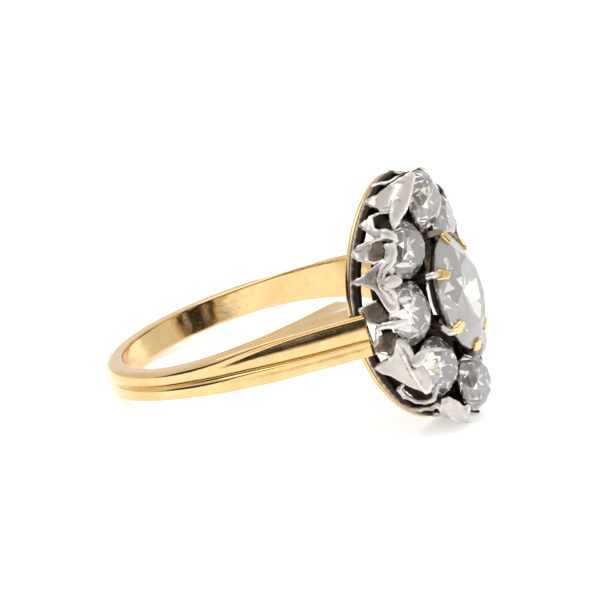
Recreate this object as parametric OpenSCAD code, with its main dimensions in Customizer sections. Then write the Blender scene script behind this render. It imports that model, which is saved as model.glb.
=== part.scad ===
// Oval cluster ring: a fluted gold shank carries an open silver head, whose eight old cut stones
// stand round a taller, longer centre stone. The ring lies on its side, as it rests by itself.

/* [Finger hole] */
// Radius of the finger hole
finger_r = 8.6; // [8.2:0.1:9.2]

/* [Band and shoulders] */
// Thickness of the band at the back
band_t = 1.2; // [1:0.1:1.5]
// Width of the band at the back
band_w = 1.9; // [1.6:0.1:2.2]
// Width of the shoulders on the finger side, at their widest
shoulder_w = 3.4; // [3:0.1:3.8]
// Width of the fluted face at the end of the shoulders
face_w = 2.7; // [2.4:0.1:3]

/* [Head] */
// Height of the back of the head's ends above the middle of the finger hole
head_n = 10.9; // [10.7:0.05:11.1]
// Lean of the head out of square with the finger hole, in degrees
head_lean = 3; // [0:0.5:4]
// Depth by which the head's two sides curve down round the finger
side_drop = 1.15; // [1:0.05:1.3]
// Half length of the oval through the middles of the outer stones
oval_v = 6.05; // [5.9:0.05:6.2]
// Half width of that oval
oval_t = 3.8; // [3.75:0.05:3.9]
// Half length of the rail that carries the gallery
rail_v = 7.8; // [7.6:0.05:7.9]
// Half width of the rail
rail_t = 6.85; // [6.7:0.05:7]
// Turn of the gallery's feet against the stones, in degrees
foot_skew = -1; // [-6:1:6]

/* [Stones] */
// Height of the outer stones' girdles above the head's back
girdle_z = 2.65; // [2.5:0.05:2.8]
// Height of the centre stone's girdle above the head's back
centre_girdle_z = 3.4; // [3.35:0.05:3.5]
// Half width of the centre stone
centre_t = 2.65; // [2.5:0.05:2.75]
// Half length of the centre stone
centre_v = 3.8; // [3.6:0.05:3.9]
// Shift of the centre stone along the finger
centre_shift = -0.15; // [-0.3:0.05:0]
// Turn of the centre stone in its setting, in degrees
centre_turn = 8; // [0:1:10]

/* [Hidden] */

gold = "#E3BD72";
silver = "#B9B3AC";
diamond = "#EDF1F4";

// Gap left between one piece and the next
gap = 0.04;

// Outer stones, from the one at the top of the oval and turning toward the near side: size
// along the oval and across it, squareness of the outline (2 is round), turn in the collet
ALONG = 0;
ACROSS = 1;
SQUARENESS = 2;
TURN = 3;
OUTER_STONES = [
    [3.50, 3.65, 2.3, 4],
    [3.65, 3.50, 2.3, 10],
    [3.95, 3.70, 2.6, 0],
    [3.70, 3.60, 2.3, -8],
    [3.45, 3.60, 2.4, 4],
    [3.65, 3.55, 2.2, 12],
    [3.85, 3.65, 2.5, 3],
    [3.65, 3.55, 2.3, -10]];
outer_count = len(OUTER_STONES);
// The four stones off the oval's axes move this far toward its sides, which evens the spacing
corner_shift = 5;
// Lean of the two side stones toward the sides
side_lean = 15;

crown_h = 0.85;
pavilion_h = 1.75;
centre_crown_h = 1;
centre_pavilion_h = 2.1;
centre_squareness = 2.1;
girdle_t = 0.1;

// Rail: a gold frame on the finger side and a silver one on it
rail_w = 0.9;
back_t = 0.28;
rail_z = 0.9;
rail_shift = 0.15;
rail_sides = 48;

// Gallery between the rail and the rim
rim_t = 5.9;
rim_v = 8.25;
rim_z = girdle_z - 0.1;
foot_inset = 0.28;
claw_r = 0.26;
collet_wall = 0.22;
collet_bottom = 1.65;
inner_plate_z = 1.85;
inner_plate_t = 0.35;
// Half width at the rim of the plate after each outer stone, in degrees
PLATE_SPREAD = [9, 9, 12, 10, 10, 12, 9, 9];

// Band: the sweep's stations, in degrees from the back of the ring
end_angle = 160;
straight_from = 100;
station_step = 5;
// The straight outer line of a shoulder ends here, beside the rail
shoulder_n = head_n + 0.05;
shoulder_t = rail_t + 0.4;

outer_r = finger_r + band_t;

// The band's outer face from its upper to its lower edge, as shares of its half width at the
// back and at the head, and as depths under the full height in mm at the back and at the head
AT_BACK = 0;
AT_HEAD = 1;
DEPTH_BACK = 2;
DEPTH_HEAD = 3;
FACE = [
    [1.00, 1.00, 0.45, 0.35],
    [0.95, 0.99, 0.22, 0.12],
    [0.82, 0.94, 0.07, 0.02],
    [0.66, 0.88, 0.00, 0.02],
    [0.54, 0.83, 0.00, 0.22],
    [0.44, 0.78, 0.00, 0.26],
    [0.36, 0.70, 0.01, 0.10],
    [0.28, 0.40, 0.03, 0.12],
    [0.18, 0.05, 0.08, 0.15],
    [0.08, -0.16, 0.18, 0.18],
    [0.00, -0.22, 0.24, 0.22],
    [-0.08, -0.27, 0.16, 0.04],
    [-0.20, -0.33, 0.06, 0.03],
    [-0.36, -0.42, 0.01, 0.10],
    [-0.60, -0.70, 0.01, 0.06],
    [-0.82, -0.92, 0.07, 0.06],
    [-0.95, -0.99, 0.22, 0.14],
    [-1.00, -1.00, 0.45, 0.35]];

// Angle of a stone's middle round the oval, from its top
function stone_angle(i) = 45 * i + ((i % 2 == 0) ? 0 : ((i % 4 == 1) ? corner_shift : -corner_shift));
function between_angle(i) = (stone_angle(i) + stone_angle(i + 1)) / 2;

// A point of an oval with these half sizes, whose sides curve down by side_drop. The near side
// of the ring is toward -X here
function oval_point(angle, half_t, half_v, z = 0) =
    [-half_t * sin(angle), half_v * cos(angle), z - side_drop * pow(sin(angle), 2)];
function stone_place(i) = oval_point(stone_angle(i), oval_t, oval_v, girdle_z);

// The same direction from the middle of the head, as an angle on another oval
function angle_on(angle, half_t, half_v) =
    atan2(oval_t * sin(angle) / half_t, oval_v * cos(angle) / half_v);

// A point of the gallery's wall, whose foot stands on the rail and whose top is the rim
function wall_point(angle, z, inset = 0) =
    let (up = (z - rail_z) / (rim_z - rail_z),
        half_t = mixed(rail_t - foot_inset, rim_t, up) - inset,
        half_v = mixed(rail_v - foot_inset, rim_v, up) - inset)
    oval_point(angle_on(angle, half_t, half_v) + foot_skew * max(0, 1 - up), half_t, half_v, z)
    + [0, rail_shift * max(0, 1 - up), 0];

// Radius of a stone's outline in a direction, for half sizes of 1
function outline(angle, squareness) =
    pow(pow(abs(cos(angle)), squareness) + pow(abs(sin(angle)), squareness), -1 / squareness);

// The head is modelled with its face up and its back at zero height, then set on the band
module head_place() {
    translate([head_n, 0, 0]) rotate([0, head_lean, 0]) rotate([90, 0, 90]) children();
}

// How far the ring leans when it lies on the edge of the band's back and on the claw at the
// lower end of the head's rim
low_n = head_n + rim_z * cos(head_lean) - rim_v * sin(head_lean);
low_v = rim_v * cos(head_lean) + rim_z * sin(head_lean);
rest_rise = low_v - FACE[1][AT_BACK] * band_w / 2;
rest_run = low_n + outer_r - FACE[1][DEPTH_BACK];
rest_tilt = atan2(rest_rise, rest_run) + asin(claw_r / norm([rest_rise, rest_run]));

module at_rest() {
    rotate([0, -rest_tilt, 0]) children();
}

// Stones

// Shares of the outline's radius at which the facets meet
TABLE = 0.56;
MID_CROWN = 0.8;
MID_PAVILION = 0.42;
CULET = 0.09;

// Share of the height, from the girdle, at which a point lies in the plane of the main facets
function on_main_facet(angle, share, inner, squareness) =
    (outline(22.5, squareness) - share * outline(angle, squareness) * cos(22.5))
    / (outline(22.5, squareness) * (1 - inner));

function reversed(face) = [for (i = [len(face) - 1:-1:0]) face[i]];

// Cushion or round old cut: a table, 8 stars, 8 mains and 16 halves above the girdle, and 16
// halves, 8 mains and a small flat culet below it
module cut_stone(half_t, half_v, crown, pavilion, squareness, grow = 0) {
    function at(angle, share, z) =
        let (r = share * outline(angle, squareness))
        [(half_t + grow) * r * cos(angle), (half_v + grow) * r * sin(angle), z];
    edge = girdle_t / 2 + grow / 2;
    top = girdle_t / 2 + crown + grow;
    bottom = -girdle_t / 2 - pavilion - grow;
    function crown_z(angle) =
        edge + (top - edge) * on_main_facet(angle, MID_CROWN, TABLE, squareness);
    function pavilion_z(angle) =
        -edge + (bottom + edge) * on_main_facet(angle, MID_PAVILION, CULET, squareness);
    eighths = [0:45:315];
    sixteenths = [0:22.5:337.5];
    points = concat(
        [for (a = eighths) at(a + 22.5, TABLE, top)],
        [for (a = eighths) at(a, MID_CROWN, crown_z(a))],
        [for (a = sixteenths) at(a, 1, edge)],
        [for (a = sixteenths) at(a, 1, -edge)],
        [for (a = eighths) at(a, MID_PAVILION, pavilion_z(a))],
        [for (a = eighths) at(a + 22.5, CULET, bottom)]);
    table = 0;
    mid = 8;
    upper = 16;
    lower = 32;
    keel = 48;
    culet = 56;
    faces = concat(
        [[for (i = [0:7]) table + i]],
        [for (i = [0:7]) [table + (i + 7) % 8, mid + i, table + i]],
        [for (i = [0:7]) [table + i, mid + i, upper + 2 * i + 1]],
        [for (i = [0:7]) [table + i, upper + 2 * i + 1, mid + (i + 1) % 8]],
        [for (i = [0:7]) [mid + i, upper + 2 * i, upper + 2 * i + 1]],
        [for (i = [0:7]) [mid + i, upper + (2 * i + 15) % 16, upper + 2 * i]],
        [for (i = [0:15]) [upper + i, lower + i, lower + (i + 1) % 16, upper + (i + 1) % 16]],
        [for (i = [0:7]) [keel + i, lower + 2 * i + 1, lower + 2 * i]],
        [for (i = [0:7]) [keel + i, lower + 2 * i, lower + (2 * i + 15) % 16]],
        [for (i = [0:7]) [culet + i, lower + 2 * i + 1, keel + i]],
        [for (i = [0:7]) [culet + i, keel + (i + 1) % 8, lower + 2 * i + 1]],
        [for (i = [0:7]) [culet + i, keel + i, culet + (i + 7) % 8]],
        [[for (i = [7:-1:0]) culet + i]]);
    polyhedron(points, [for (face = faces) reversed(face)]);
}

// The outer stones lean toward the sides as the head curves down
module stone_lean(i) {
    rotate([0, -side_lean * sin(stone_angle(i)), 0]) children();
}

// An outer stone at its place on the head
module outer_stone(i, grow = 0) {
    row = OUTER_STONES[i];
    translate(stone_place(i)) stone_lean(i) rotate(stone_angle(i) + row[TURN])
        cut_stone(row[ALONG] / 2, row[ACROSS] / 2, crown_h, pavilion_h, row[SQUARENESS], grow);
}

module centre_place() {
    translate([0, centre_shift, 0]) rotate(centre_turn) children();
}

module centre_stone(grow = 0) {
    centre_place() translate([0, 0, centre_girdle_z])
        cut_stone(centre_t, centre_v, centre_crown_h, centre_pavilion_h, centre_squareness, grow);
}

// Band and shoulders

// Eases a value in over a range, without a corner at either end
function eased(x, low, high) = let (s = min(1, max(0, (x - low) / (high - low)))) s * s * (3 - 2 * s);
function mixed(a, b, share) = a + (b - a) * share;

// The straight outer line of a shoulder, as its distance from the axis and its square direction
line_n = -outer_r * cos(straight_from);
line_t = outer_r * sin(straight_from);
line_angle = atan2(shoulder_n - line_n, line_t - shoulder_t);
line_distance = line_n * cos(line_angle) + line_t * sin(line_angle);
function outer_radius(angle) = (angle <= straight_from) ? outer_r :
    line_distance / cos(180 - angle - line_angle);

function inner_half(angle) =
    mixed(band_w / 2, shoulder_w / 2, eased(angle, 60, 155)) - 0.25 * eased(angle, 150, 165);
function face_half(angle) = mixed(band_w / 2, face_w / 2, eased(angle, 70, 125));

// Section of the band in the plane of an angle from the back, as radius and height pairs
function band_section(angle) =
    let (headward = eased(angle, 85, 140),
        radius = outer_radius(angle),
        half = face_half(angle))
    concat(
        [for (row = FACE)
            [radius - mixed(row[DEPTH_BACK], row[DEPTH_HEAD], headward),
                half * mixed(row[AT_BACK], row[AT_HEAD], headward)]],
        [[finger_r - 0.3, -inner_half(angle)], [finger_r - 0.3, inner_half(angle)]]);

// The whole sweep, from the end of one shoulder round the back to the end of the other
module band_sweep() {
    stations = [for (a = [-end_angle:station_step:end_angle]) a];
    sections = [for (a = stations) band_section(abs(a))];
    points = [for (s = [0:len(stations) - 1]) for (p = sections[s])
        [-p[0] * cos(stations[s]), -p[0] * sin(stations[s]), p[1]]];
    n = len(sections[0]);
    last = len(stations) - 1;
    faces = concat(
        [[for (i = [0:n - 1]) i]],
        [for (s = [0:last - 1]) for (i = [0:n - 1])
            [s * n + i, (s + 1) * n + i, (s + 1) * n + (i + 1) % n]],
        [for (s = [0:last - 1]) for (i = [0:n - 1])
            [s * n + i, (s + 1) * n + (i + 1) % n, s * n + (i + 1) % n]],
        [[for (i = [n - 1:-1:0]) last * n + i]]);
    polyhedron(points, faces);
}

// Solid flat oval
module oval_disc(half_t, half_v, height) {
    linear_extrude(height)
        polygon([for (i = [0:rail_sides - 1])
            let (p = oval_point(360 * i / rail_sides, half_t, half_v)) [p[0], p[1]]]);
}

// Frame that follows the oval and curves down at its sides: each corner of its section is
// given as [half width, half length, height], counterclockwise seen along the oval
module oval_frame(corners) {
    n = len(corners);
    points = [for (i = [0:rail_sides - 1]) for (c = corners)
        oval_point(360 * i / rail_sides, c[0], c[1], c[2])];
    faces = [for (i = [0:rail_sides - 1]) for (k = [0:n - 1])
        let (here = i * n, next = (i + 1) % rail_sides * n, up = (k + 1) % n)
        [here + k, here + up, next + up, next + k]];
    polyhedron(points, faces);
}

// Frame of this width and height, with its back at z
module flat_frame(half_t, half_v, z, width, height) {
    oval_frame([
        [half_t, half_v, z],
        [half_t, half_v, z + height],
        [half_t - width, half_v - width, z + height],
        [half_t - width, half_v - width, z]]);
}

// The rail sits a little higher along the finger than the stones
module rail_place() {
    translate([0, rail_shift, 0]) children();
}

module shank() {
    // The shoulders end in a slope under the head, from the finger hole to inside the rail
    slope_low_t = 3.6;
    slope_low_n = 7.9;
    slope_high_t = rail_t - rail_w - 0.9;
    reach = 20;
    color(gold) at_rest() difference() {
        band_sweep();
        cylinder(r = finger_r, h = reach, center = true, $fn = 96);
        head_place() {
            rail_place() flat_frame(rail_t + gap, rail_v + gap, -gap, rail_w + 3, reach);
            translate([-reach / 2, -reach / 2, shoulder_n - head_n]) cube(reach);
        }
        translate([0, 0, -reach / 2]) linear_extrude(reach)
            polygon([
                [slope_low_n, -slope_low_t],
                [head_n + 1, -slope_high_t],
                [head_n + 1, slope_high_t],
                [slope_low_n, slope_low_t]]);
    }
}

// Head

module back_rail() {
    color(gold) at_rest() head_place() rail_place() flat_frame(rail_t, rail_v, 0, rail_w, back_t);
}

module ball(place, r) {
    translate(place) sphere(r = r, $fn = 8);
}

// A plate between two stones: a point on the rail that widens to the rim
module gallery_plate(i) {
    middle = between_angle(i);
    waist = PLATE_SPREAD[i] / 2;
    hull() {
        ball(wall_point(middle, rail_z + 0.05, 0.05), 0.18);
        for (side = [-1, 1]) {
            ball(wall_point(middle + side * waist, 1.75, 0.15), 0.26);
            ball(wall_point(middle + side * PLATE_SPREAD[i], rim_z - 0.25, 0.2), 0.28);
        }
    }
}

// A fork under a stone: two pointed feet that join in a claw at the stone's outer edge
module gallery_fork(i) {
    middle = stone_angle(i);
    spread = 7.5;
    join = wall_point(middle, 1.7, 0.05);
    rim = wall_point(middle, rim_z, 0);
    for (side = [-1, 1])
        hull() {
            ball(wall_point(middle + side * spread, rail_z + 0.05, 0.05), 0.14);
            ball(join, 0.24);
        }
    hull() {
        ball(join, 0.24);
        ball(rim, claw_r);
    }
    hull() {
        ball(rim, claw_r);
        ball(wall_point(middle, girdle_z + 0.42, 0.42), 0.2);
    }
}

module collet(i) {
    r = OUTER_STONES[i][ALONG] / 2 + collet_wall;
    h = rim_z - collet_bottom;
    translate(stone_place(i)) stone_lean(i) translate([0, 0, -0.1 - h])
        cylinder(r1 = r - 0.45, r2 = r, h = h, $fn = 20);
}

// The room for a stone in its collet, open at the back
module seat(i) {
    outer_stone(i, gap);
    translate(stone_place(i)) stone_lean(i) translate([0, 0, -girdle_z])
        cylinder(r = OUTER_STONES[i][ALONG] * 0.22, h = girdle_z, $fn = 12);
}

// The rail, the gallery, the collets and the beads between the stones are soldered into one
module setting() {
    bead_r = 0.4;
    grain_r = 0.26;
    bead_in = 0.55;
    color(silver) at_rest() head_place() difference() {
        union() {
            rail_place() flat_frame(rail_t, rail_v, back_t + gap, rail_w, rail_z - back_t - gap);
            flat_frame(oval_t - 0.7, oval_v - 0.8, inner_plate_z, 1.6, inner_plate_t);
            for (i = [0:outer_count - 1]) {
                collet(i);
                gallery_plate(i);
                gallery_fork(i);
                ball(wall_point(between_angle(i), rim_z, bead_in), bead_r);
                ball(oval_point(between_angle(i), oval_t - 1.15, oval_v - 1.15, rim_z), grain_r);
            }
        }
        for (i = [0:outer_count - 1]) seat(i);
    }
}

// Centre

// Where the six claws stand round the centre stone, in degrees from its upper end
CLAW_TURNS = [-5, 52, 112, 168, 214, 308];
stem_r = 0.2;
tip_z = centre_girdle_z + 0.62;
function claw_point(turn, out, z) =
    [-(centre_t + out) * sin(turn), (centre_v + out) * cos(turn), z];

module centre_setting() {
    bottom_z = inner_plate_z + inner_plate_t + gap;
    cup_top_z = centre_girdle_z - 0.45;
    cup_inset = 0.2;
    color(silver) at_rest() head_place() difference() {
        centre_place() {
            hull() {
                translate([0, 0, bottom_z]) oval_disc(1.7, 2.9, 0.05);
                translate([0, 0, cup_top_z])
                    oval_disc(centre_t - cup_inset, centre_v - cup_inset, 0.05);
            }
            for (turn = CLAW_TURNS) {
                hull() {
                    ball(claw_point(turn, -0.4, bottom_z + 0.5), stem_r);
                    ball(claw_point(turn, 0.12, centre_girdle_z), stem_r);
                }
                hull() {
                    ball(claw_point(turn, 0.12, centre_girdle_z), stem_r);
                    ball(claw_point(turn, 0.05, tip_z - stem_r - gap), stem_r);
                }
            }
        }
        centre_stone(gap);
    }
}

module claw_tips() {
    tip_r = 0.2;
    color(gold) at_rest() head_place() difference() {
        centre_place() for (turn = CLAW_TURNS)
            hull() {
                ball(claw_point(turn, 0.05, tip_z + tip_r), tip_r);
                ball(claw_point(turn, -0.75, centre_girdle_z + 1), tip_r * 0.8);
            }
        centre_stone(gap);
    }
}

shank();
back_rail();
setting();
centre_setting();
claw_tips();
color(diamond) at_rest() head_place() centre_stone();
for (i = [0:outer_count - 1])
    color(diamond) at_rest() head_place() outer_stone(i);
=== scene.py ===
"""Looks of the diamond cluster ring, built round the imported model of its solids."""
import logging
import math
from dataclasses import dataclass
from enum import Enum
from typing import Sequence

import bmesh
import bpy
import numpy as np
from mathutils import Matrix, Vector


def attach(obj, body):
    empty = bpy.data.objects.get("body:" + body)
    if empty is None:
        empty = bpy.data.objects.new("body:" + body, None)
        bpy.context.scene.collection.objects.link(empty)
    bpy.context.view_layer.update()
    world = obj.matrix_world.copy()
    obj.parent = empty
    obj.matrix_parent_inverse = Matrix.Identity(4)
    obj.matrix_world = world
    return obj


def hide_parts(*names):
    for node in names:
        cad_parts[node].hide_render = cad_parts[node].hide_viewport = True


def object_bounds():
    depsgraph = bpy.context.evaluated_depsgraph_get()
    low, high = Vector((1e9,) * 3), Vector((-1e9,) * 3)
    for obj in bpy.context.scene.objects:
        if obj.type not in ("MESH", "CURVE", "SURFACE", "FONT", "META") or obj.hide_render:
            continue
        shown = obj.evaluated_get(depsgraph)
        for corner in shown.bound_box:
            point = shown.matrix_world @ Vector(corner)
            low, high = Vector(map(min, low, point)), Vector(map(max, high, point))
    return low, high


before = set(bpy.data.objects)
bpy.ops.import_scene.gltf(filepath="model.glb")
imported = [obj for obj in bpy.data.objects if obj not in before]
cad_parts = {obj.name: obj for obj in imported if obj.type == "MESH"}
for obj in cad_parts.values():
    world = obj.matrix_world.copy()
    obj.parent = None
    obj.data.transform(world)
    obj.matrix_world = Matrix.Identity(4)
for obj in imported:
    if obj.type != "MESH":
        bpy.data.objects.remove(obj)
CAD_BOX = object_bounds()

LOG = logging.getLogger("ring")
MM = 0.001
BODY = "root"
FLOAT = "NodeSocketFloat"
COLOUR = "NodeSocketColor"

Array = np.ndarray
Number = Array | float
Points = tuple[Array, Array, Array]
Row = Sequence[float]
Rows = Sequence[Row]
Faces = Sequence[Sequence[int]]
Slices = tuple[slice, ...]
Span = tuple[float, float]
Triple = tuple[float, float, float]
Colour = tuple[float, float, float, float]
Piece = bpy.types.Object
Material = bpy.types.Material
Tree = bpy.types.NodeTree
Socket = bpy.types.NodeSocket
Input = Socket | float
Value = Socket | float | Row

WHOLE: Slices = (slice(None),) * 3


class Slot(Enum):
    """Metals of the ring."""

    GOLD = "gold"
    SILVER = "silver"


def eased(x: Number, low: float, high: float) -> Number:
    """Eases from 0 to 1 between two limits."""
    s = np.clip((x - low) / (high - low), 0, 1)
    return s * s * (3 - 2 * s)


def mixed(a: Number, b: Number, share: Number) -> Number:
    """Mixes two values by a share of the second."""
    return a + (b - a) * share


def make_piece(name: str, vertices: Array, faces: Array | Faces, smooth: bool = True) -> Piece:
    """Makes a mesh object in the scene.

    Args:
        name: name of the piece.
        vertices: rows of x, y, z in metres.
        faces: vertex numbers of each face.
        smooth: whether its faces are shaded smooth.

    Returns:
        The new object.
    """
    mesh = bpy.data.meshes.new(name)
    mesh.from_pydata(vertices.tolist(), [], [list(map(int, f)) for f in faces])
    mesh.update()
    mesh.polygons.foreach_set("use_smooth", [smooth] * len(mesh.polygons))
    piece = bpy.data.objects.new(name, mesh)
    bpy.context.scene.collection.objects.link(piece)
    return piece


def recalculated(piece: Piece) -> None:
    """Turns all faces of a closed piece outward.

    Args:
        piece: the piece.
    """
    work = bmesh.new()
    work.from_mesh(piece.data)
    bmesh.ops.recalc_face_normals(work, faces=work.faces)
    work.to_mesh(piece.data)
    work.free()


def settle(piece: Piece) -> None:
    """Makes the shape that a piece's modifiers give its own.

    Args:
        piece: the piece.
    """
    evaluated = piece.evaluated_get(bpy.context.evaluated_depsgraph_get())
    mesh = bpy.data.meshes.new_from_object(evaluated)
    piece.modifiers.clear()
    piece.data = mesh


def paint_points(piece: Piece, name: str, values: Array) -> None:
    """Stores a number on each point of a piece.

    Args:
        piece: the piece.
        name: name of the stored number.
        values: one value for each point.
    """
    attribute = piece.data.attributes.new(name, "FLOAT", "POINT")
    attribute.data.foreach_set("value", values.astype(np.float32))


def fit_out(piece: Piece, node: str, material: Material) -> Piece:
    """Gives a piece its material and lets it stand for a solid of the model.

    Args:
        piece: the piece.
        node: the solid that it replaces.
        material: its material.

    Returns:
        The piece.
    """
    piece.data.materials.clear()
    piece.data.materials.append(material)
    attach(piece, BODY)
    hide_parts(node)
    LOG.info("%s: %d faces", node, len(piece.data.polygons))
    return piece


def rounded(forms: Sequence[Array], edge: float) -> Array:
    """Distance of the form that several forms have in common, with rounded edges.

    Args:
        forms: distances of the forms.
        edge: radius of the edges in mm.

    Returns:
        Its distances.
    """
    stack = np.stack([f + edge for f in forms])
    outside = np.sqrt((np.maximum(stack, 0) ** 2).sum(axis=0))
    return outside + np.minimum(stack.max(axis=0), 0) - edge


def bevelled(a: Array, b: Array, edge: float) -> Array:
    """Distance of the form that two forms have in common, with rounded edges.

    Args:
        a: distances of the first form.
        b: distances of the second form.
        edge: radius of the edges in mm.

    Returns:
        Its distances.
    """
    a, b = a + edge, b + edge
    return np.hypot(np.maximum(a, 0), np.maximum(b, 0)) - edge + np.minimum(np.maximum(a, b), 0)


def past_oval(x: Array, y: Array, half_t: Number, half_v: Number) -> Array:
    """Distance past an oval, below zero inside it.

    Args:
        x: across the head from the oval's middle, in mm.
        y: along the finger from the oval's middle, in mm.
        half_t: half size of the oval across the head.
        half_v: half size of the oval along the finger.

    Returns:
        Distances in mm.
    """
    u, v = x / half_t, y / half_v
    r = np.hypot(u, v)
    slope = np.hypot(u / half_t, v / half_v) / np.maximum(r, 1e-6)
    return (r - 1) / np.maximum(slope, 1e-6)


@dataclass(frozen=True)
class Wall:
    """Leaning wall of the gallery: its foot stands on the rail and its top is the rim.

    A place on it is an angle in degrees from the top of the oval toward the near side, a height
    over the head's bent back and a distance outward. Sizes are in mm: t across the head, v along
    the finger and z up to its face. The narrow ones are shares of the widest.
    """

    rail_t: float = 6.85
    rail_v: float = 7.8
    foot_t: float = 6.57
    foot_v: float = 7.52
    rim_t: float = 5.9
    rim_v: float = 8.25
    foot_z: float = 0.9
    rim_z: float = 2.55
    shift: float = 0.15
    drop: float = 1.15
    fold_z: float = 2.35
    fold: float = 0.55
    fold_deep: float = 0.8
    flare_t: float = 6.75
    flare_v: float = 7.7
    flare_top: float = 1.3
    flare_low: float = 0.85
    mean_t: float = 6.3
    mean_v: float = 7.9
    widest_t: float = 6.6
    widest_v: float = 8.2
    narrow_t: float = 0.8
    narrow_v: float = 0.88

    def halves(self, height: Array) -> Points:
        """Half sizes and shift of the wall's oval at a height; its foot flares over the rail.

        Args:
            height: height in mm.

        Returns:
            Half size across the head, half size along the finger and shift along it, in mm.
        """
        up = (height - self.foot_z) / (self.rim_z - self.foot_z)
        flare = eased(height, self.flare_top, self.flare_low)
        return (mixed(mixed(self.foot_t, self.rim_t, up), self.flare_t, flare),
                mixed(mixed(self.foot_v, self.rim_v, up), self.flare_v, flare),
                self.shift * np.maximum(0, 1 - up))

    def folded(self, height: Array) -> Array:
        """Distance by which the wall folds inward over the stones at a height."""
        return self.fold * np.maximum(0, (height - self.fold_z) / self.fold_deep) ** 2

    def read(self, x: Array, y: Array, z: Array) -> Points:
        """Reads places on the wall.

        Args:
            x: across the head in mm.
            y: along the finger in mm.
            z: height in mm.

        Returns:
            Angles in degrees, heights and outward distances in mm.
        """
        height = z + self.drop * 0.5
        for _ in range(3):
            half_t, half_v, shift = self.halves(height)
            angle = np.arctan2(-x / half_t, (y - shift) / half_v)
            height = z + self.drop * np.sin(angle) ** 2
        half_t, half_v, shift = self.halves(height)
        out = past_oval(x, y - shift, half_t, half_v)
        return np.degrees(angle), height, out + self.folded(height)

    def run(self, angle: Number) -> Number:
        """Distance in mm along the wall from the top of the oval to an angle in degrees.

        Args:
            angle: the angle.

        Returns:
            The distance.
        """
        turns = np.radians(np.arange(-200, 201.0))
        steps = np.hypot(self.mean_t * np.cos(turns), self.mean_v * np.sin(turns))
        length = np.cumsum(steps * math.radians(1.0))
        length = length - np.interp(0.0, np.degrees(turns), length)
        return np.interp(angle, np.degrees(turns), length)


WALL = Wall()


@dataclass(frozen=True)
class Pose:
    """How the ring lies and how its head stands on the band, as in the solids."""

    head_n: float = 10.9
    head_lean: float = math.radians(3.0)
    claw_r: float = 0.26
    back_r: float = 9.58
    back_v: float = 0.9025

    @property
    def rest_tilt(self) -> float:
        """Lean of the ring, lying on the band's back edge and on the head's rim.

        Returns:
            The angle in radians.
        """
        cos, sin = math.cos(self.head_lean), math.sin(self.head_lean)
        low_n = self.head_n + WALL.rim_z * cos - WALL.rim_v * sin
        low_v = WALL.rim_v * cos + WALL.rim_z * sin
        rise, run = low_v - self.back_v, low_n + self.back_r
        return math.atan2(rise, run) + math.asin(self.claw_r / math.hypot(rise, run))

    def lay(self, points: Array) -> Array:
        """Lays points of the upright ring down as it rests.

        Args:
            points: rows of x, y, z in mm; x toward the head and z along the finger.

        Returns:
            Rows of x, y, z in metres, in the frame of the solids.
        """
        cos, sin = math.cos(self.rest_tilt), math.sin(self.rest_tilt)
        x, y, z = points[:, 0], points[:, 1], points[:, 2]
        return np.stack([x * cos - z * sin, y, x * sin + z * cos], axis=1) * MM

    def place(self, points: Array) -> Array:
        """Sets points of the head on the ring and lays it down.

        Args:
            points: rows of x, y, z in mm; face up, near side toward -x.

        Returns:
            Rows of x, y, z in metres, in the frame of the solids.
        """
        cos, sin = math.cos(self.head_lean), math.sin(self.head_lean)
        n, v = points[:, 2], points[:, 1]
        upright = np.stack(
            [self.head_n + n * cos + v * sin, points[:, 0], v * cos - n * sin], axis=1)
        return self.lay(upright)

    def take_off(self, points: Array) -> Array:
        """Turns points of the lying ring back into the head's own frame.

        Args:
            points: rows of x, y, z in metres, in the frame of the solids.

        Returns:
            Rows of x, y, z in mm; face up, near side toward -x.
        """
        cos, sin = math.cos(self.rest_tilt), math.sin(self.rest_tilt)
        x, y, z = (points / MM).T
        n, v = x * cos + z * sin, z * cos - x * sin
        cos, sin = math.cos(self.head_lean), math.sin(self.head_lean)
        n = n - self.head_n
        return np.stack([y, n * sin + v * cos, n * cos - v * sin], axis=1)


POSE = Pose()


class Lean(Enum):
    """How a plate leans toward the rim: how many mm outward, from and to which height."""

    STRAIGHT = (0.0, 0.0, 1.0)
    SWOLLEN = (0.1, 1.2, 2.4)
    HOLLOWED = (-0.16, 0.9, 2.1)

    def at(self, height: Array) -> Array:
        """How much farther out the plate lies at a height, in mm."""
        amount, low, high = self.value
        return amount * eased(height, low, high)


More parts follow.
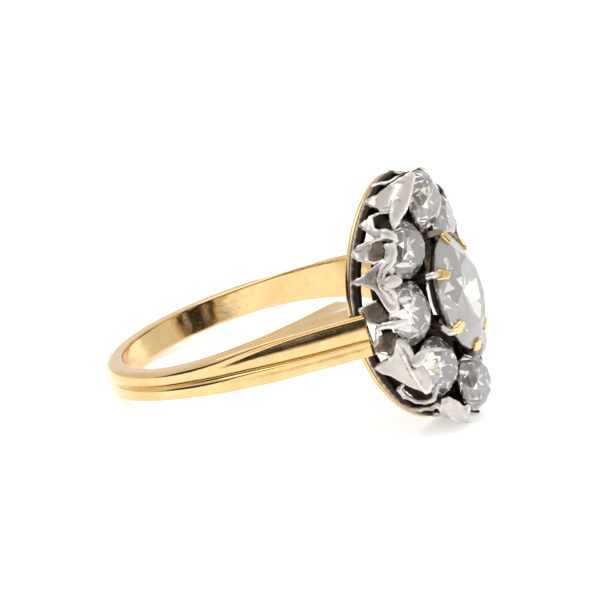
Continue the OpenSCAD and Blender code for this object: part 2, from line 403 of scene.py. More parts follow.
class Field:
    """Distance from the nearest surface on a grid of the head, below zero in the metal.

    It also keeps how dark each place is painted: 1 is dark, as oxidised metal and as painted
    shade inside the head, and below 0 is painted light that keeps it bright.
    Strands, plates and beads go on the near side of the wall while side is 1, and on its far
    side while side is -1.
    """

    empty: float = 5.0
    strand_room: float = 0.8
    plate_room: float = 0.6
    plate_blend: float = 0.15
    fine_w: float = 0.3
    wide_w: float = 1.0

    def __init__(self, low: Row, high: Row, step: float) -> None:
        """Makes an empty grid.

        Args:
            low: lowest corner in mm.
            high: highest corner in mm.
            step: spacing of the grid in mm.
        """
        self.low = np.array(low)
        self.step = step
        self.side = 1.0
        axes = [np.arange(a, b, step, dtype=np.float32) for a, b in zip(low, high)]
        self.places = tuple(np.meshgrid(*axes, indexing="ij"))
        shape = self.places[0].shape
        self.distance = np.full(shape, self.empty, np.float32)
        self.oxide_shade_and_light = np.zeros(shape, np.float32)
        self.angle, self.height, self.out = WALL.read(*self.places)
        self.run = WALL.run(self.angle).astype(np.float32)

    def near(self, low: Row, high: Row) -> Slices:
        """Slices of the grid that hold a box given in mm."""
        return tuple(slice(max(0, int((a - o) / self.step) - 1),
                           max(1, int((b - o) / self.step) + 2))
                     for a, b, o in zip(low, high, self.low))

    def join(self, where: Slices, other: Array, blend: float, oxide_shade_and_light: Number = 0.0) -> None:
        """Adds a form, rounding the inner corner where it meets the rest.

        Args:
            where: slices of the grid that the form was worked out for.
            other: its distances.
            blend: width of the rounded corner in mm.
            oxide_shade_and_light: how dark the form is painted: oxidised metal and painted shade
                above zero, painted light below zero.
        """
        mine, other = self.distance[where], other.astype(np.float32)
        self.oxide_shade_and_light[where] = np.where(other < mine, oxide_shade_and_light, self.oxide_shade_and_light[where])
        h = np.maximum(blend - np.abs(mine - other), 0) / blend
        self.distance[where] = np.minimum(mine, other) - h * h * blend / 4

    def cut(self, where: Slices, other: Array, blend: float = 0.02) -> None:
        """Cuts a form out, rounding the edge.

        Args:
            where: slices of the grid that the form was worked out for.
            other: its distances.
            blend: width of the rounded edge in mm.
        """
        mine, other = self.distance[where], other.astype(np.float32)
        h = np.maximum(blend - np.abs(mine + other), 0) / blend
        self.distance[where] = np.maximum(mine, -other) + h * h * blend / 4

    def strand(self, points: Rows, blend: float, flat: float = 1.0, oxide_shade_and_light: float = 0.0) -> None:
        """Adds a round tapering strand that follows the wall.

        Args:
            points: rows of angle, height, outward distance and radius.
            blend: width of the rounded corner where it meets the rest.
            flat: how much thinner it is outward than along the wall.
            oxide_shade_and_light: how dark it is painted: oxidised metal and painted shade above
                zero, painted light below zero.
        """
        rows = [(float(WALL.run(self.side * a)), h, w, r) for a, h, w, r in points]
        where = self._along(points, self.strand_room)
        s, h, w = self.run[where], self.height[where], self.out[where]
        for (s0, h0, w0, r0), (s1, h1, w1, r1) in zip(rows, rows[1:]):
            ds, dh, dw = s1 - s0, h1 - h0, (w1 - w0) / flat
            a, b, c = s - s0, h - h0, (w - w0) / flat
            t = np.clip((a * ds + b * dh + c * dw) / (ds * ds + dh * dh + dw * dw), 0, 1)
            far = np.sqrt((a - t * ds) ** 2 + (b - t * dh) ** 2 + (c - t * dw) ** 2)
            self.join(where, (far - mixed(r0, r1, t)) * min(1.0, flat), blend, oxide_shade_and_light)

    def _along(self, points: Rows, room: float) -> Slices:
        """Slices that hold the part of the wall round some places on it.

        Args:
            points: rows that start with an angle and a height.
            room: room left round them in mm.

        Returns:
            Slices of the grid.
        """
        angles = [self.side * p[0] for p in points]
        heights = [p[1] for p in points]
        turns = np.radians(np.linspace(min(angles), max(angles), 24))
        x, y = -WALL.widest_t * np.sin(turns), WALL.widest_v * np.cos(turns)
        drop = WALL.drop * np.sin(turns) ** 2
        x2, y2 = x * WALL.narrow_t, y * WALL.narrow_v
        low = (min(x.min(), x2.min()) - room, min(y.min(), y2.min()) - room,
               min(heights) - drop.max() - room)
        high = (max(x.max(), x2.max()) + room, max(y.max(), y2.max()) + room,
                max(heights) - drop.min() + room)
        return self.near(low, high)

    def plate(self, outline: Rows, out: float, thick: float, edge: float = 0.08,
              lean: Lean = Lean.STRAIGHT, oxide_shade_and_light: float = 0.0) -> None:
        """Adds a plate that lies on the wall.

        Args:
            outline: rows of angle and height.
            out: outward distance of its outer face.
            thick: its thickness.
            edge: radius of its rounded edge.
            lean: how it leans toward the rim.
            oxide_shade_and_light: how dark it is painted: oxidised metal and painted shade above
                zero, painted light below zero.
        """
        corners = np.array([[float(WALL.run(self.side * a)), h] for a, h in outline])
        where = self._along(outline, self.plate_room)
        s, h, w = self.run[where], self.height[where], self.out[where]
        far = np.full(s.shape, 9.0, np.float32)
        inside = np.zeros(s.shape, bool)
        for (s0, h0), (s1, h1) in zip(corners, np.roll(corners, -1, axis=0)):
            ds, dh = s1 - s0, h1 - h0
            t = np.clip(((s - s0) * ds + (h - h0) * dh) / (ds * ds + dh * dh), 0, 1)
            far = np.minimum(far, np.hypot(s - s0 - t * ds, h - h0 - t * dh))
            inside ^= ((h0 > h) != (h1 > h)) & (s < s0 + (h - h0) * ds / (dh or 1e-9))
        bulge = lean.at(h)
        deep = np.abs(w - (out - thick / 2) - bulge / 2) - thick / 2 - bulge / 2
        flat = np.where(inside, -far, far)
        self.join(where, bevelled(flat, deep, edge), self.plate_blend, oxide_shade_and_light)

    def bead(self, angle: float, height: float, out: float, r: float, blend: float,
             oxide_shade_and_light: float) -> None:
        """Adds a round bead on the wall."""
        self.strand([(angle, height, out, r), (angle + 0.1, height, out, r)], blend, oxide_shade_and_light=oxide_shade_and_light)

    def rod(self, start: Row, end: Row, r0: float, r1: float, blend: float, oxide_shade_and_light: float) -> None:
        """Adds a round tapering rod between two places of the head, in mm.

        Args:
            start: place of its first end.
            end: place of its second end.
            r0: radius at the first end.
            r1: radius at the second end.
            blend: width of the rounded corner where it meets the rest.
            oxide_shade_and_light: how dark it is painted: oxidised metal and painted shade above
                zero, painted light below zero.
        """
        p, q = np.array(start, float), np.array(end, float)
        room = max(r0, r1) + blend + 0.15
        where = self.near(np.minimum(p, q) - room, np.maximum(p, q) + room)
        d = q - p
        offs = [c[where] - o for c, o in zip(self.places, p)]
        t = np.clip(sum(o * e for o, e in zip(offs, d)) / float(d @ d), 0, 1)
        far = np.sqrt(sum((o - t * e) ** 2 for o, e in zip(offs, d)))
        self.join(where, far - mixed(r0, r1, t), blend, oxide_shade_and_light)

    def hull_distance(self, planes: Array, where: Slices) -> Array:
        """Distance from a convex form, such as a stone.

        Args:
            planes: rows of outward direction and offset in mm.
            where: slices of the grid.

        Returns:
            Distances, below zero inside it.
        """
        x, y, z = (c[where] for c in self.places)
        far = np.full(x.shape, -9.0, np.float32)
        for a, b, c, d in planes:
            np.maximum(far, a * x + b * y + c * z - d, out=far)
        return far

    def softened(self, values: Array, width: float) -> Array:
        """Averages values over a cube of this width in mm, twice.

        Args:
            values: values on the grid.
            width: side of the cube.

        Returns:
            The averaged values.
        """
        half = max(1, int(round(width / self.step / 2)))
        for _ in range(2):
            for axis in range(3):
                padded = np.concatenate([
                    np.repeat(values.take([0], axis), half + 1, axis), values,
                    np.repeat(values.take([-1], axis), half, axis)], axis)
                total = np.cumsum(padded, axis, dtype=np.float32)
                count = values.shape[axis]
                ahead = total.take(range(2 * half + 1, 2 * half + 1 + count), axis)
                values = (ahead - total.take(range(count), axis)) / (2 * half + 1)
        return values

    def sample(self, values: Array, cells: Array) -> Array:
        """Values at fractional places of the grid, mixed from the eight round each.

        Args:
            values: values on the grid.
            cells: rows of three places, counted in cells.

        Returns:
            One value for each row.
        """
        base = np.clip(np.floor(cells).astype(int), 0, np.array(values.shape) - 2)
        f = cells - base
        total = np.zeros(len(cells), np.float32)
        for i, j, k in np.ndindex(2, 2, 2):
            share = (np.abs(1 - i - f[:, 0]) * np.abs(1 - j - f[:, 1])
                     * np.abs(1 - k - f[:, 2]))
            total += share * values[base[:, 0] + i, base[:, 1] + j, base[:, 2] + k]
        return total

    def skin(self) -> tuple[Array, Array]:
        """Makes a surface of four-sided faces at distance zero.

        Returns:
            Places in cells of the grid, and the vertex numbers of each face.
        """
        d = self.distance
        inside = d < 0
        count = sum(inside[i:i + d.shape[0] - 1, j:j + d.shape[1] - 1,
                           k:k + d.shape[2] - 1].astype(np.int8)
                    for i, j, k in np.ndindex(2, 2, 2))
        cells = np.argwhere((count > 0) & (count < 8))
        number = np.full(count.shape, -1, np.int64)
        number[tuple(cells.T)] = np.arange(len(cells))
        total = np.zeros((len(cells), 3))
        hits = np.zeros(len(cells))
        edges = [(np.array(a), axis) for a in np.ndindex(2, 2, 2) for axis in range(3)
                 if not a[axis]]
        for a, axis in edges:
            b = a.copy()
            b[axis] = 1
            da, db = d[tuple((cells + a).T)], d[tuple((cells + b).T)]
            cross = (da < 0) != (db < 0)
            spot = a + np.zeros((len(cells), 3))
            spot[:, axis] = np.where(cross, da / np.where(cross, da - db, 1), 0)
            total += np.where(cross[:, None], spot, 0)
            hits += cross
        places = cells + total / hits[:, None]
        faces = []
        for axis in range(3):
            u, v = (axis + 1) % 3, (axis + 2) % 3
            ahead, behind = [slice(1, -1)] * 3, [slice(1, -1)] * 3
            ahead[axis], behind[axis] = slice(0, -1), slice(1, None)
            first, second = inside[tuple(ahead)], inside[tuple(behind)]
            for leaving in (True, False):
                spots = np.argwhere((first != second) & (first == leaving))
                spots += np.array([int(k != axis) for k in range(3)])
                ring = []
                for du, dv in ((0, 0), (1, 0), (1, 1), (0, 1)):
                    c = spots.copy()
                    c[:, u] -= 1 - du
                    c[:, v] -= 1 - dv
                    ring.append(number[tuple(c.T)])
                faces.append(np.stack(ring if leaving else ring[::-1], axis=1))
        quads = np.concatenate(faces)
        return places, quads[(quads >= 0).all(axis=1)]

    def piece(self, name: str, share: float = 1.0) -> Piece:
        """Makes a piece of the surface, with what its finish needs stored on its points.

        Args:
            name: name of the piece.
            share: share of its triangles that is kept.

        Returns:
            The piece, in its place on the ring.
        """
        places, faces = self.skin()
        solid = (self.distance < 0).astype(np.float32)
        piece = make_piece(name, POSE.place(self.low + places * self.step), faces)
        stored = {"fine": self.softened(solid, self.fine_w),
                  "wide": self.softened(solid, self.wide_w), "out": self.out, "height": self.height,
                  "oxide_shade_and_light": self.softened(self.oxide_shade_and_light, self.step)}
        for key, values in stored.items():
            paint_points(piece, key, self.sample(values.astype(np.float32), places))
        if share < 1.0:
            thinner = piece.modifiers.new("thinner", "DECIMATE")
            thinner.ratio = share
            settle(piece)
        return piece


@dataclass(frozen=True)
class Stone:
    """A cut stone, whose solid stays as it is."""

    name: str

    @property
    def points(self) -> Array:
        """Its corners in the head's own frame, in mm."""
        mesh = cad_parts[self.name].data
        return POSE.take_off(np.array([v.co for v in mesh.vertices]))

    def planes(self) -> Array:
        """Its facets: rows of outward direction and offset in mm.

        Returns:
            One row of four numbers for each facet.
        """
        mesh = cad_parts[self.name].data
        points = self.points
        middle = points.mean(axis=0)
        rows = []
        for face in mesh.polygons:
            corner = points[list(face.vertices)]
            normal = np.cross(corner[1] - corner[0], corner[2] - corner[0])
            size = np.linalg.norm(normal)
            if size < 1e-5:
                continue
            normal = normal / size
            if normal @ (corner[0] - middle) < 0:
                normal = -normal
            rows.append((*normal, normal @ corner[0]))
        return np.unique(np.round(np.array(rows), 3), axis=0)

    def seat(self) -> tuple[Array, Array]:
        """Middle of its girdle and the direction from there to its table.

        Returns:
            The middle in mm and the direction, of length 1.
        """
        points = self.points
        middle = points.mean(axis=0)
        axis = np.linalg.svd(points - middle)[2][2]
        axis = axis * np.sign(axis[2])
        along = (points - middle) @ axis
        far = np.linalg.norm(points - middle - along[:, None] * axis, axis=1)
        return middle + along[far > 0.8 * far.max()].mean() * axis, axis


@dataclass(frozen=True)
class Stones:
    """The nine cut stones."""

    outer: int = 8

    def ring(self) -> list[Stone]:
        """The stones round the middle."""
        return [Stone(f"stone_{i + 1}") for i in range(self.outer)]

    def middle(self) -> Stone:
        """The raised stone in the middle."""
        return Stone("centre_stone")

    def dress(self, clear: Material, hazy: Material) -> None:
        """Gives every stone its material.

        Args:
            clear: finish of the stones round the middle.
            hazy: finish of the stone in the middle.
        """
        for stone, material in [*((s, clear) for s in self.ring()), (self.middle(), hazy)]:
            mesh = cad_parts[stone.name].data
            mesh.materials.clear()
            mesh.materials.append(material)
            LOG.info("%s: dressed", stone.name)


def round_oval(section: Rows, half_t: float, half_v: float, stations: int
               ) -> tuple[Array, Faces]:
    """Carries a section round an oval that follows the head's bent back.

    Args:
        section: rows of distance inward and height in mm.
        half_t: half size of the oval across the head.
        half_v: half size of the oval along the finger.
        stations: how many times the section stands on it.

    Returns:
        Rows of x, y, z of the head in mm, and the faces.
    """
    points = [[-(half_t - inward) * math.sin(a), (half_v - inward) * math.cos(a) + WALL.shift,
               height - WALL.drop * math.sin(a) ** 2]
              for a in np.radians(np.arange(stations) * 360 / stations)
              for inward, height in section]
    n = len(section)
    faces = [[i * n + k, i * n + (k + 1) % n, (i + 1) % stations * n + (k + 1) % n,
              (i + 1) % stations * n + k] for i in range(stations) for k in range(n)]
    return np.array(points), faces


def prism(outline: Rows, low: float, high: float) -> tuple[Array, Faces]:
    """Raises an outline from one height to another.

    Args:
        outline: rows of x and y in mm.
        low: height of its foot.
        high: height of its top.

    Returns:
        Rows of x, y, z in mm, and the faces.
    """
    n = len(outline)
    sides = [[k, (k + 1) % n, n + (k + 1) % n, n + k] for k in range(n)]
    points = np.array([[x, y, z] for z in (low, high) for x, y in outline])
    return points, [list(range(n))[::-1], list(range(n, 2 * n)), *sides]


@dataclass(frozen=True)
class BackRail:
    """Thin oval gold frame on the finger side of the head, with rounded edges."""

    width: float = 0.9
    thickness: float = 0.28
    edge: float = 0.09
    stations: int = 200

    def section(self) -> Array:
        """Its section: rows of distance inward and height in mm.

        Returns:
            The rows, once round.
        """
        turn = np.radians(np.linspace(0, 90, 5))
        arc = np.column_stack([1 - np.cos(turn), 1 - np.sin(turn)]) * self.edge
        outer_top = np.column_stack([arc[:, 0], self.thickness - arc[:, 1]])
        inner_top = np.column_stack([self.width - arc[::-1, 0], self.thickness - arc[::-1, 1]])
        inner_low = np.column_stack([self.width - arc[:, 0], arc[:, 1]])
        outer_low = np.column_stack([arc[::-1, 0], arc[::-1, 1]])
        return np.concatenate([outer_top, inner_top, inner_low, outer_low])

    def build(self, gold: Material) -> Piece:
        """Builds the frame.

        Args:
            gold: its finish.

        Returns:
            The piece that stands for the back rail.
        """
        points, faces = round_oval(self.section(), WALL.rail_t, WALL.rail_v, self.stations)
        piece = make_piece("back_rail_gold", POSE.place(points), faces)
        recalculated(piece)
        return fit_out(piece, "back_rail", gold)


@dataclass(frozen=True)
class Setting:
    """Silver head: rail, pierced gallery, collets, beads and claws, soldered into one.

    Sizes are in mm: t across the head, v along the finger, z upward and w through the metal.
    The values named bright, inner and under bound where the rail's painted shade is left off,
    where the collets' painted shade and oxidised metal are lighter, and where painted light
    goes on the collets under the stones. The plates, strands and beads of the gallery are listed
    rows: angle and height on the wall, and for a strand also the distance outward and the radius.
    """

    step: float = 0.075
    low: Triple = (-7.3, -8.9, -1.25)
    high: Triple = (7.3, 8.9, 4.3)
    kept: float = 0.58
    solder: float = 0.12
    rail_w: float = 0.6
    rail_low: float = 0.32
    rail_high: float = 0.88
    rail_edge: float = 0.05
    bright_h: float = 0.14
    bright_w: float = 0.25
    sunk: float = 0.45
    grain_t: float = 2.65
    grain_v: float = 4.9
    grain_low: float = 0.7
    grain_high: float = 0.2
    between: tuple[float, ...] = (25.0, 66.0, 108.0, 153.0)
    collet_w: float = 0.1
    collet_top: float = -0.12
    collet_low: float = -1.2
    collet_taper: float = 0.3
    inner: float = 1.12
    under: float = -0.32
    room: float = 0.035
    bore_w: float = 0.8
    bore_top: float = -0.2
    backing_out: float = -0.52
    backing_w: float = 0.24
    backing_top: float = 2.45
    backing_low: float = 0.8
    backing_raised: float = 1.42
    backing_fall: float = 0.55
    floor_t: float = 4.5
    floor_v: float = 6.6
    floor_z: float = 2.05
    floor_w: float = 0.3
    well_t: float = 1.65
    well_v: float = 2.85
    dome_t: float = 2.4
    dome_v: float = 4.0
    dome_z: float = 2.14
    dome_fall: float = 0.7
    dome_w: float = 0.9

    def _rail(self, grid: Field) -> None:
        """Adds the oval rail on the gold frame, with painted shade between its two edges.

        Args:
            grid: the silver.
        """
        x, y, z = grid.places
        angle = np.arctan2(-x / WALL.rail_t, (y - WALL.shift) / WALL.rail_v)
        height = z + WALL.drop * np.sin(angle) ** 2
        out = past_oval(x, y - WALL.shift, WALL.rail_t, WALL.rail_v)
        across = np.abs(out + self.rail_w / 2) - self.rail_w / 2
        middle, half = (self.rail_low + self.rail_high) / 2, (self.rail_high - self.rail_low) / 2
        solid = bevelled(across, np.abs(height - middle) - half, self.rail_edge)
        # painted shade on the rail, left off its low outer edge
        bright = (height < self.rail_low + self.bright_h) & (out > -self.bright_w)
        grid.join(WHOLE, solid, 0.02, np.where(bright, 0.0, 1.0))

    def _first_plate(self, grid: Field) -> None:
        """Adds the plate between the first and second stones, its ridges and its claw.

        The far side has only a plain plate, lower and farther in, with painted light on it.

        Args:
            grid: the silver.
        """
        if grid.side < 0:
            # painted light keeps the far plate bright though it lies on the inner side
            grid.plate([(24, 0.3), (19, 1.1), (17, 1.9), (15, 2.45), (20, 2.7), (28, 2.75),
                        (38, 2.65), (36, 2.0), (31, 1.2)], -0.15, 0.34, oxide_shade_and_light=-0.6)
            return
        grid.plate([(25.5, 0.35), (22.5, 0.75), (19.5, 1.25), (18.5, 1.75), (19, 2.35),
                    (15.5, 2.7), (10.5, 2.9), (9.5, 3.15), (17, 3.25), (24.5, 3.3), (30, 3.3),
                    (35.5, 3.25), (39, 3.15), (37.5, 2.6), (35.5, 2.0), (34, 1.7), (31, 1.4),
                    (28.5, 1.05)], 0.2, 0.34, lean=Lean.SWOLLEN)
        grid.strand([(20.5, 1.3, 0.18, 0.06), (21.5, 2.1, 0.27, 0.12), (20, 2.75, 0.3, 0.14),
                     (20, 3.1, 0.26, 0.14)], 0.2)
        grid.strand([(38, 2.65, 0.25, 0.09), (34, 2.72, 0.38, 0.09), (32.5, 2.98, 0.4, 0.09),
                     (34.5, 3.2, 0.3, 0.09)], 0.05)
        grid.strand([(36, 2.9, 0.2, 0.34), (40.5, 2.9, 0.24, 0.3), (44, 2.92, 0.24, 0.22),
                     (47.5, 2.9, 0.2, 0.08)], 0.08, flat=0.7)

    def _second_fork(self, grid: Field) -> None:
        """Adds the fork of the second stone: two feet, a strut and a bead at the rim.

        Args:
            grid: the silver.
        """
        grid.plate([(39.5, 0.55), (37.5, 0.85), (35, 1.1), (35.2, 1.3), (38.5, 1.45),
                    (43, 1.65), (45.5, 1.95), (48.5, 2.4), (50.5, 2.8), (52.5, 2.75),
                    (51.5, 2.25), (49, 1.75), (44.5, 1.25), (41.5, 0.95)],
                   0.2, 0.3, edge=0.1, lean=Lean.SWOLLEN)
        grid.strand([(47, 2.15, 0.16, 0.16), (49.5, 2.5, 0.24, 0.24), (51, 2.85, 0.2, 0.22),
                     (53, 3.05, 0.16, 0.12)], 0.08)
        grid.strand([(35.2, 1.15, 0.12, 0.12), (35, 1.5, 0.08, 0.08), (35.5, 1.9, 0.05, 0.08),
                     (37, 2.3, 0.05, 0.1)], 0.1)
        # these two plates are painted dark: oxidised metal and painted shade in their hollows
        grid.plate([(54, 0.45), (51, 0.85), (49, 1.2), (49, 1.6), (50.5, 2.1), (53, 2.4),
                    (57, 2.4), (60.5, 2.25), (60.5, 1.8), (58.5, 1.3), (56, 0.9)],
                   0.05, 0.26, edge=0.06, lean=Lean.HOLLOWED, oxide_shade_and_light=0.6)
        grid.plate([(54, 0.45), (51, 0.85), (49, 1.2), (49.4, 1.6), (51.5, 1.6), (54, 1.35),
                    (57, 1.5), (59.3, 1.6), (58.5, 1.3), (56, 0.9)], 0.14, 0.26, edge=0.08, oxide_shade_and_light=0.3)
        grid.strand([(54, 0.5, 0.14, 0.1), (51, 0.88, 0.16, 0.13), (49.4, 1.25, 0.14, 0.13),
                     (49.8, 1.7, 0.12, 0.1), (50.8, 2.2, 0.1, 0.08)], 0.1)
        grid.strand([(54, 0.55, 0.14, 0.12), (56.5, 0.98, 0.16, 0.12), (58.8, 1.4, 0.14, 0.09),
                     (60.8, 1.85, 0.12, 0.07), (60.8, 2.4, 0.14, 0.07)], 0.1)

    def _second_plate(self, grid: Field) -> None:
        """Adds the plate between the second and third stones with its curled ridges.

        Args:
            grid: the silver.
        """
        grid.plate([(67.3, 0.5), (65, 1.0), (63, 1.5), (62, 2.0), (61.5, 2.45), (62.5, 2.75),
                    (65.5, 2.95), (68.5, 2.85), (72.5, 2.75), (75.5, 2.8), (79.5, 2.95),
                    (84.5, 2.95), (84.5, 2.5), (80.5, 2.25), (76.5, 2.05), (73.5, 1.85),
                    (71, 1.5), (68.8, 1.1)], 0.2, 0.34, lean=Lean.SWOLLEN)
        grid.strand([(55.5, 2.75, 0.24, 0.1), (59.5, 2.85, 0.32, 0.11), (62.5, 2.75, 0.38, 0.11),
                     (65, 2.4, 0.4, 0.11), (69, 2.2, 0.4, 0.11), (73, 2.3, 0.4, 0.11),
                     (76.5, 2.6, 0.36, 0.11), (80, 2.8, 0.3, 0.1)], 0.05)
        grid.strand([(54.5, 2.95, 0.22, 0.12), (59, 3.05, 0.3, 0.12), (63, 3.0, 0.36, 0.12),
                     (65, 2.85, 0.38, 0.11), (66.5, 2.6, 0.4, 0.11), (69.5, 2.48, 0.4, 0.11),
                     (73, 2.55, 0.4, 0.11), (75.5, 2.85, 0.36, 0.11), (78.5, 2.98, 0.3, 0.1)],
                    0.04)
        grid.strand([(55, 2.55, 0.16, 0.14), (56.5, 2.8, 0.26, 0.22), (59.5, 2.75, 0.22, 0.2),
                     (61, 2.6, 0.2, 0.12)], 0.08)
        # the bead is painted a little dark: oxidised metal and painted shade
        grid.bead(71.5, 2.9, 0.3, 0.38, 0.02, oxide_shade_and_light=0.3)

    def _third_cups(self, grid: Field) -> None:
        """Adds the two open cups of the third stone, painted dark as oxidised metal and painted shade
        inside them, and the claw between them.

        Args:
            grid: the silver.
        """
        # the cups and their rims are painted dark: oxidised metal and painted shade
        grid.plate([(79.5, 0.8), (78.5, 1.3), (77.5, 1.75), (80, 2.02), (84, 2.2), (88, 2.35),
                    (89, 2.0), (88.5, 1.6), (87, 1.25), (83.5, 0.95)],
                   0.05, 0.26, edge=0.05, lean=Lean.HOLLOWED, oxide_shade_and_light=0.62)
        grid.strand([(77.5, 1.8, 0.08, 0.08), (78, 1.3, 0.14, 0.09), (79.5, 0.88, 0.14, 0.08),
                     (83, 0.98, 0.14, 0.07), (86.8, 1.28, 0.12, 0.07), (88.5, 1.75, 0.1, 0.07)],
                    0.06, oxide_shade_and_light=0.25)
        grid.strand([(94, 1.4, 0.1, 0.12), (90, 1.6, 0.12, 0.14), (89, 2.0, 0.14, 0.2),
                     (89.2, 2.45, 0.16, 0.24), (90, 3.0, 0.14, 0.2)], 0.1, flat=0.8)
        grid.plate([(100.5, 0.6), (97, 0.95), (94.5, 1.35), (92.5, 1.85), (92.2, 2.25),
                    (96, 2.4), (101, 2.1), (104.5, 1.7), (102.5, 1.5), (101.5, 1.1)],
                   0.05, 0.26, edge=0.05, lean=Lean.HOLLOWED, oxide_shade_and_light=0.68)
        grid.strand([(100, 0.7, 0.1, 0.12), (97.5, 1.05, 0.12, 0.16), (96, 1.35, 0.1, 0.14)],
                    0.1, oxide_shade_and_light=0.35)
        grid.strand([(99.5, 0.75, 0.14, 0.09), (101.5, 1.2, 0.14, 0.08), (103, 1.55, 0.14, 0.07),
                     (105, 1.8, 0.14, 0.07)], 0.08)

    def _third_plate(self, grid: Field) -> None:
        """Adds the broad plate between the third and fourth stones and the fold along its rim.

        Args:
            grid: the silver.
        """
        grid.plate([(108.7, 0.6), (106.5, 1.1), (105, 1.55), (101.5, 2.05), (97.5, 2.3),
                    (95.8, 2.5), (97.5, 2.8), (103.5, 2.92), (107, 2.8), (110, 2.8),
                    (113, 3.0), (117.5, 3.05), (123, 3.0), (126, 2.75), (123.2, 2.35),
                    (121, 1.85), (117.5, 1.4), (113.5, 1.05), (111, 0.8)],
                   0.2, 0.36, lean=Lean.SWOLLEN)
        grid.strand([(96.2, 2.5, 0.32, 0.07), (103, 2.58, 0.41, 0.08), (111, 2.6, 0.42, 0.08),
                     (119, 2.6, 0.4, 0.08), (124.5, 2.6, 0.32, 0.07)], 0.12)
        grid.strand([(96.8, 2.68, 0.28, 0.09), (100.5, 2.88, 0.34, 0.1), (104.5, 2.9, 0.34, 0.11),
                     (108, 2.8, 0.32, 0.1)], 0.04)
        # the bead is painted a little dark: oxidised metal and painted shade
        grid.bead(108, 3.12, 0.3, 0.38, 0.02, oxide_shade_and_light=0.2)

    def _fourth_loop(self, grid: Field) -> None:
        """Adds the loop under the fourth stone and the plate after it.

        The plate is sunk on the far side, and painted light there.

        Args:
            grid: the silver.
        """
        # the loops are painted dark: oxidised metal and painted shade
        grid.strand([(121, 1.5, 0.06, 0.1), (123.5, 1.15, 0.14, 0.14), (129, 1.12, 0.16, 0.15),
                     (133.5, 1.4, 0.16, 0.15), (133.5, 1.9, 0.16, 0.14), (130.5, 2.6, 0.14, 0.14),
                     (127, 3.02, 0.1, 0.14)], 0.1, oxide_shade_and_light=0.38)
        grid.strand([(135, 0.5, 0.14, 0.12), (140, 0.7, 0.14, 0.15), (143.5, 1.05, 0.14, 0.16),
                     (141, 1.8, 0.12, 0.14), (136, 2.4, 0.1, 0.14)], 0.12, oxide_shade_and_light=0.4)
        sunk = self.sunk if grid.side < 0 else 0.0
        # on the far side the plate and its strand get painted light
        bright = -1.33 * sunk
        grid.plate([(162, 0.5), (152, 1.5), (145, 2.1), (137.5, 2.4), (134.5, 2.8),
                    (137, 3.1 - sunk), (145, 3.2 - sunk), (153, 3.15 - sunk),
                    (164, 2.8 - sunk), (168, 2.2), (166, 1.2)], 0.2 - sunk, 0.36,
                   lean=Lean.SWOLLEN, oxide_shade_and_light=bright)
        grid.strand([(137.5, 2.85 - sunk, 0.22 - sunk, 0.12), (147, 2.6 - sunk, 0.3 - sunk, 0.12),
                     (157, 2.4 - sunk, 0.3 - sunk, 0.12), (165, 1.9, 0.22 - sunk, 0.1)], 0.1,
                    oxide_shade_and_light=bright)
        # the bead is painted a little dark: oxidised metal and painted shade
        if grid.side > 0:
            grid.bead(153, 3.1, 0.15, 0.3, 0.03, oxide_shade_and_light=0.3)

    def _ends(self, grid: Field) -> None:
        """Adds the forks of the stones at the two ends of the oval.

        Args:
            grid: the silver.
        """
        for end, sunk in ((0.0, 0.34), (180.0, 0.0)):
            for side in (-1.0, 1.0):
                grid.strand([(end + side * 12, 0.45, 0.1, 0.1),
                             (end + side * 9, 1.1, 0.1 - sunk * 0.3, 0.13),
                             (end + side * 5, 1.6, 0.08 - sunk * 0.7, 0.15),
                             (end, 1.95, 0.06 - sunk, 0.16)], 0.15)
            grid.strand([(end, 1.9, 0.05 - sunk, 0.17), (end, 2.25, -0.05 - sunk, 0.19),
                         (end + 0.1, 2.55, -0.15 - sunk, 0.14)], self.solder)

    def _grains(self, grid: Field) -> None:
        """Adds the grains that hold the stones on their inner side, with painted light on them.

        Args:
            grid: the silver.
        """
        for turn in self.between:
            for side in (-1.0, 1.0):
                a = math.radians(turn)
                x, y = -side * self.grain_t * math.sin(a), self.grain_v * math.cos(a)
                z = WALL.rim_z - WALL.drop * math.sin(a) ** 2
                # painted light keeps the grains partly bright on the inner side
                grid.rod((x, y, z - self.grain_low), (x, y, z + self.grain_high), 0.3, 0.22,
                         self.solder, -0.45)

    def _seats(self, grid: Field, stones: Stones) -> None:
        """Adds the collets round the stones, painted dark as oxidised metal and painted shade with
        painted light on their insides under the stones, and cuts the stones' room out of the silver.

        Args:
            grid: the silver.
            stones: the stones.
        """
        forms = []
        for stone in stones.ring():
            planes = stone.planes()
            middle, axis = stone.seat()
            points = stone.points
            where = grid.near(points.min(axis=0) - 0.5, points.max(axis=0) + 0.5)
            far = grid.hull_distance(planes, where)
            girdle = planes[np.abs(planes[:, :3] @ axis) < 0.3]
            tube = grid.hull_distance(girdle, where)
            x, y, z = (c[where] for c in grid.places)
            along = ((x - middle[0]) * axis[0] + (y - middle[1]) * axis[1]
                     + (z - middle[2]) * axis[2])
            taper = self.collet_taper * np.maximum(0, -along)
            cup = np.maximum(np.maximum(tube + taper - self.collet_w, along - self.collet_top),
                             self.collet_low - along)
            inner = np.hypot(x / self.grain_t, y / self.grain_v) < self.inner
            # collets painted dark: oxidised metal and painted shade, lighter toward the middle
            grid.join(where, cup, 0.05, np.where(inner, 0.55, 1.0))
            forms.append((where, far, tube, along))
        for where, far, tube, along in forms:
            # painted light on the collets' insides under the stones
            under = (far < self.collet_w + 0.06) & (along < self.under)
            grid.oxide_shade_and_light[where] = np.where(under, -1.0, grid.oxide_shade_and_light[where])
            grid.cut(where, far - self.room)
            grid.cut(where, np.maximum(tube + self.bore_w, along - self.bore_top), 0.05)

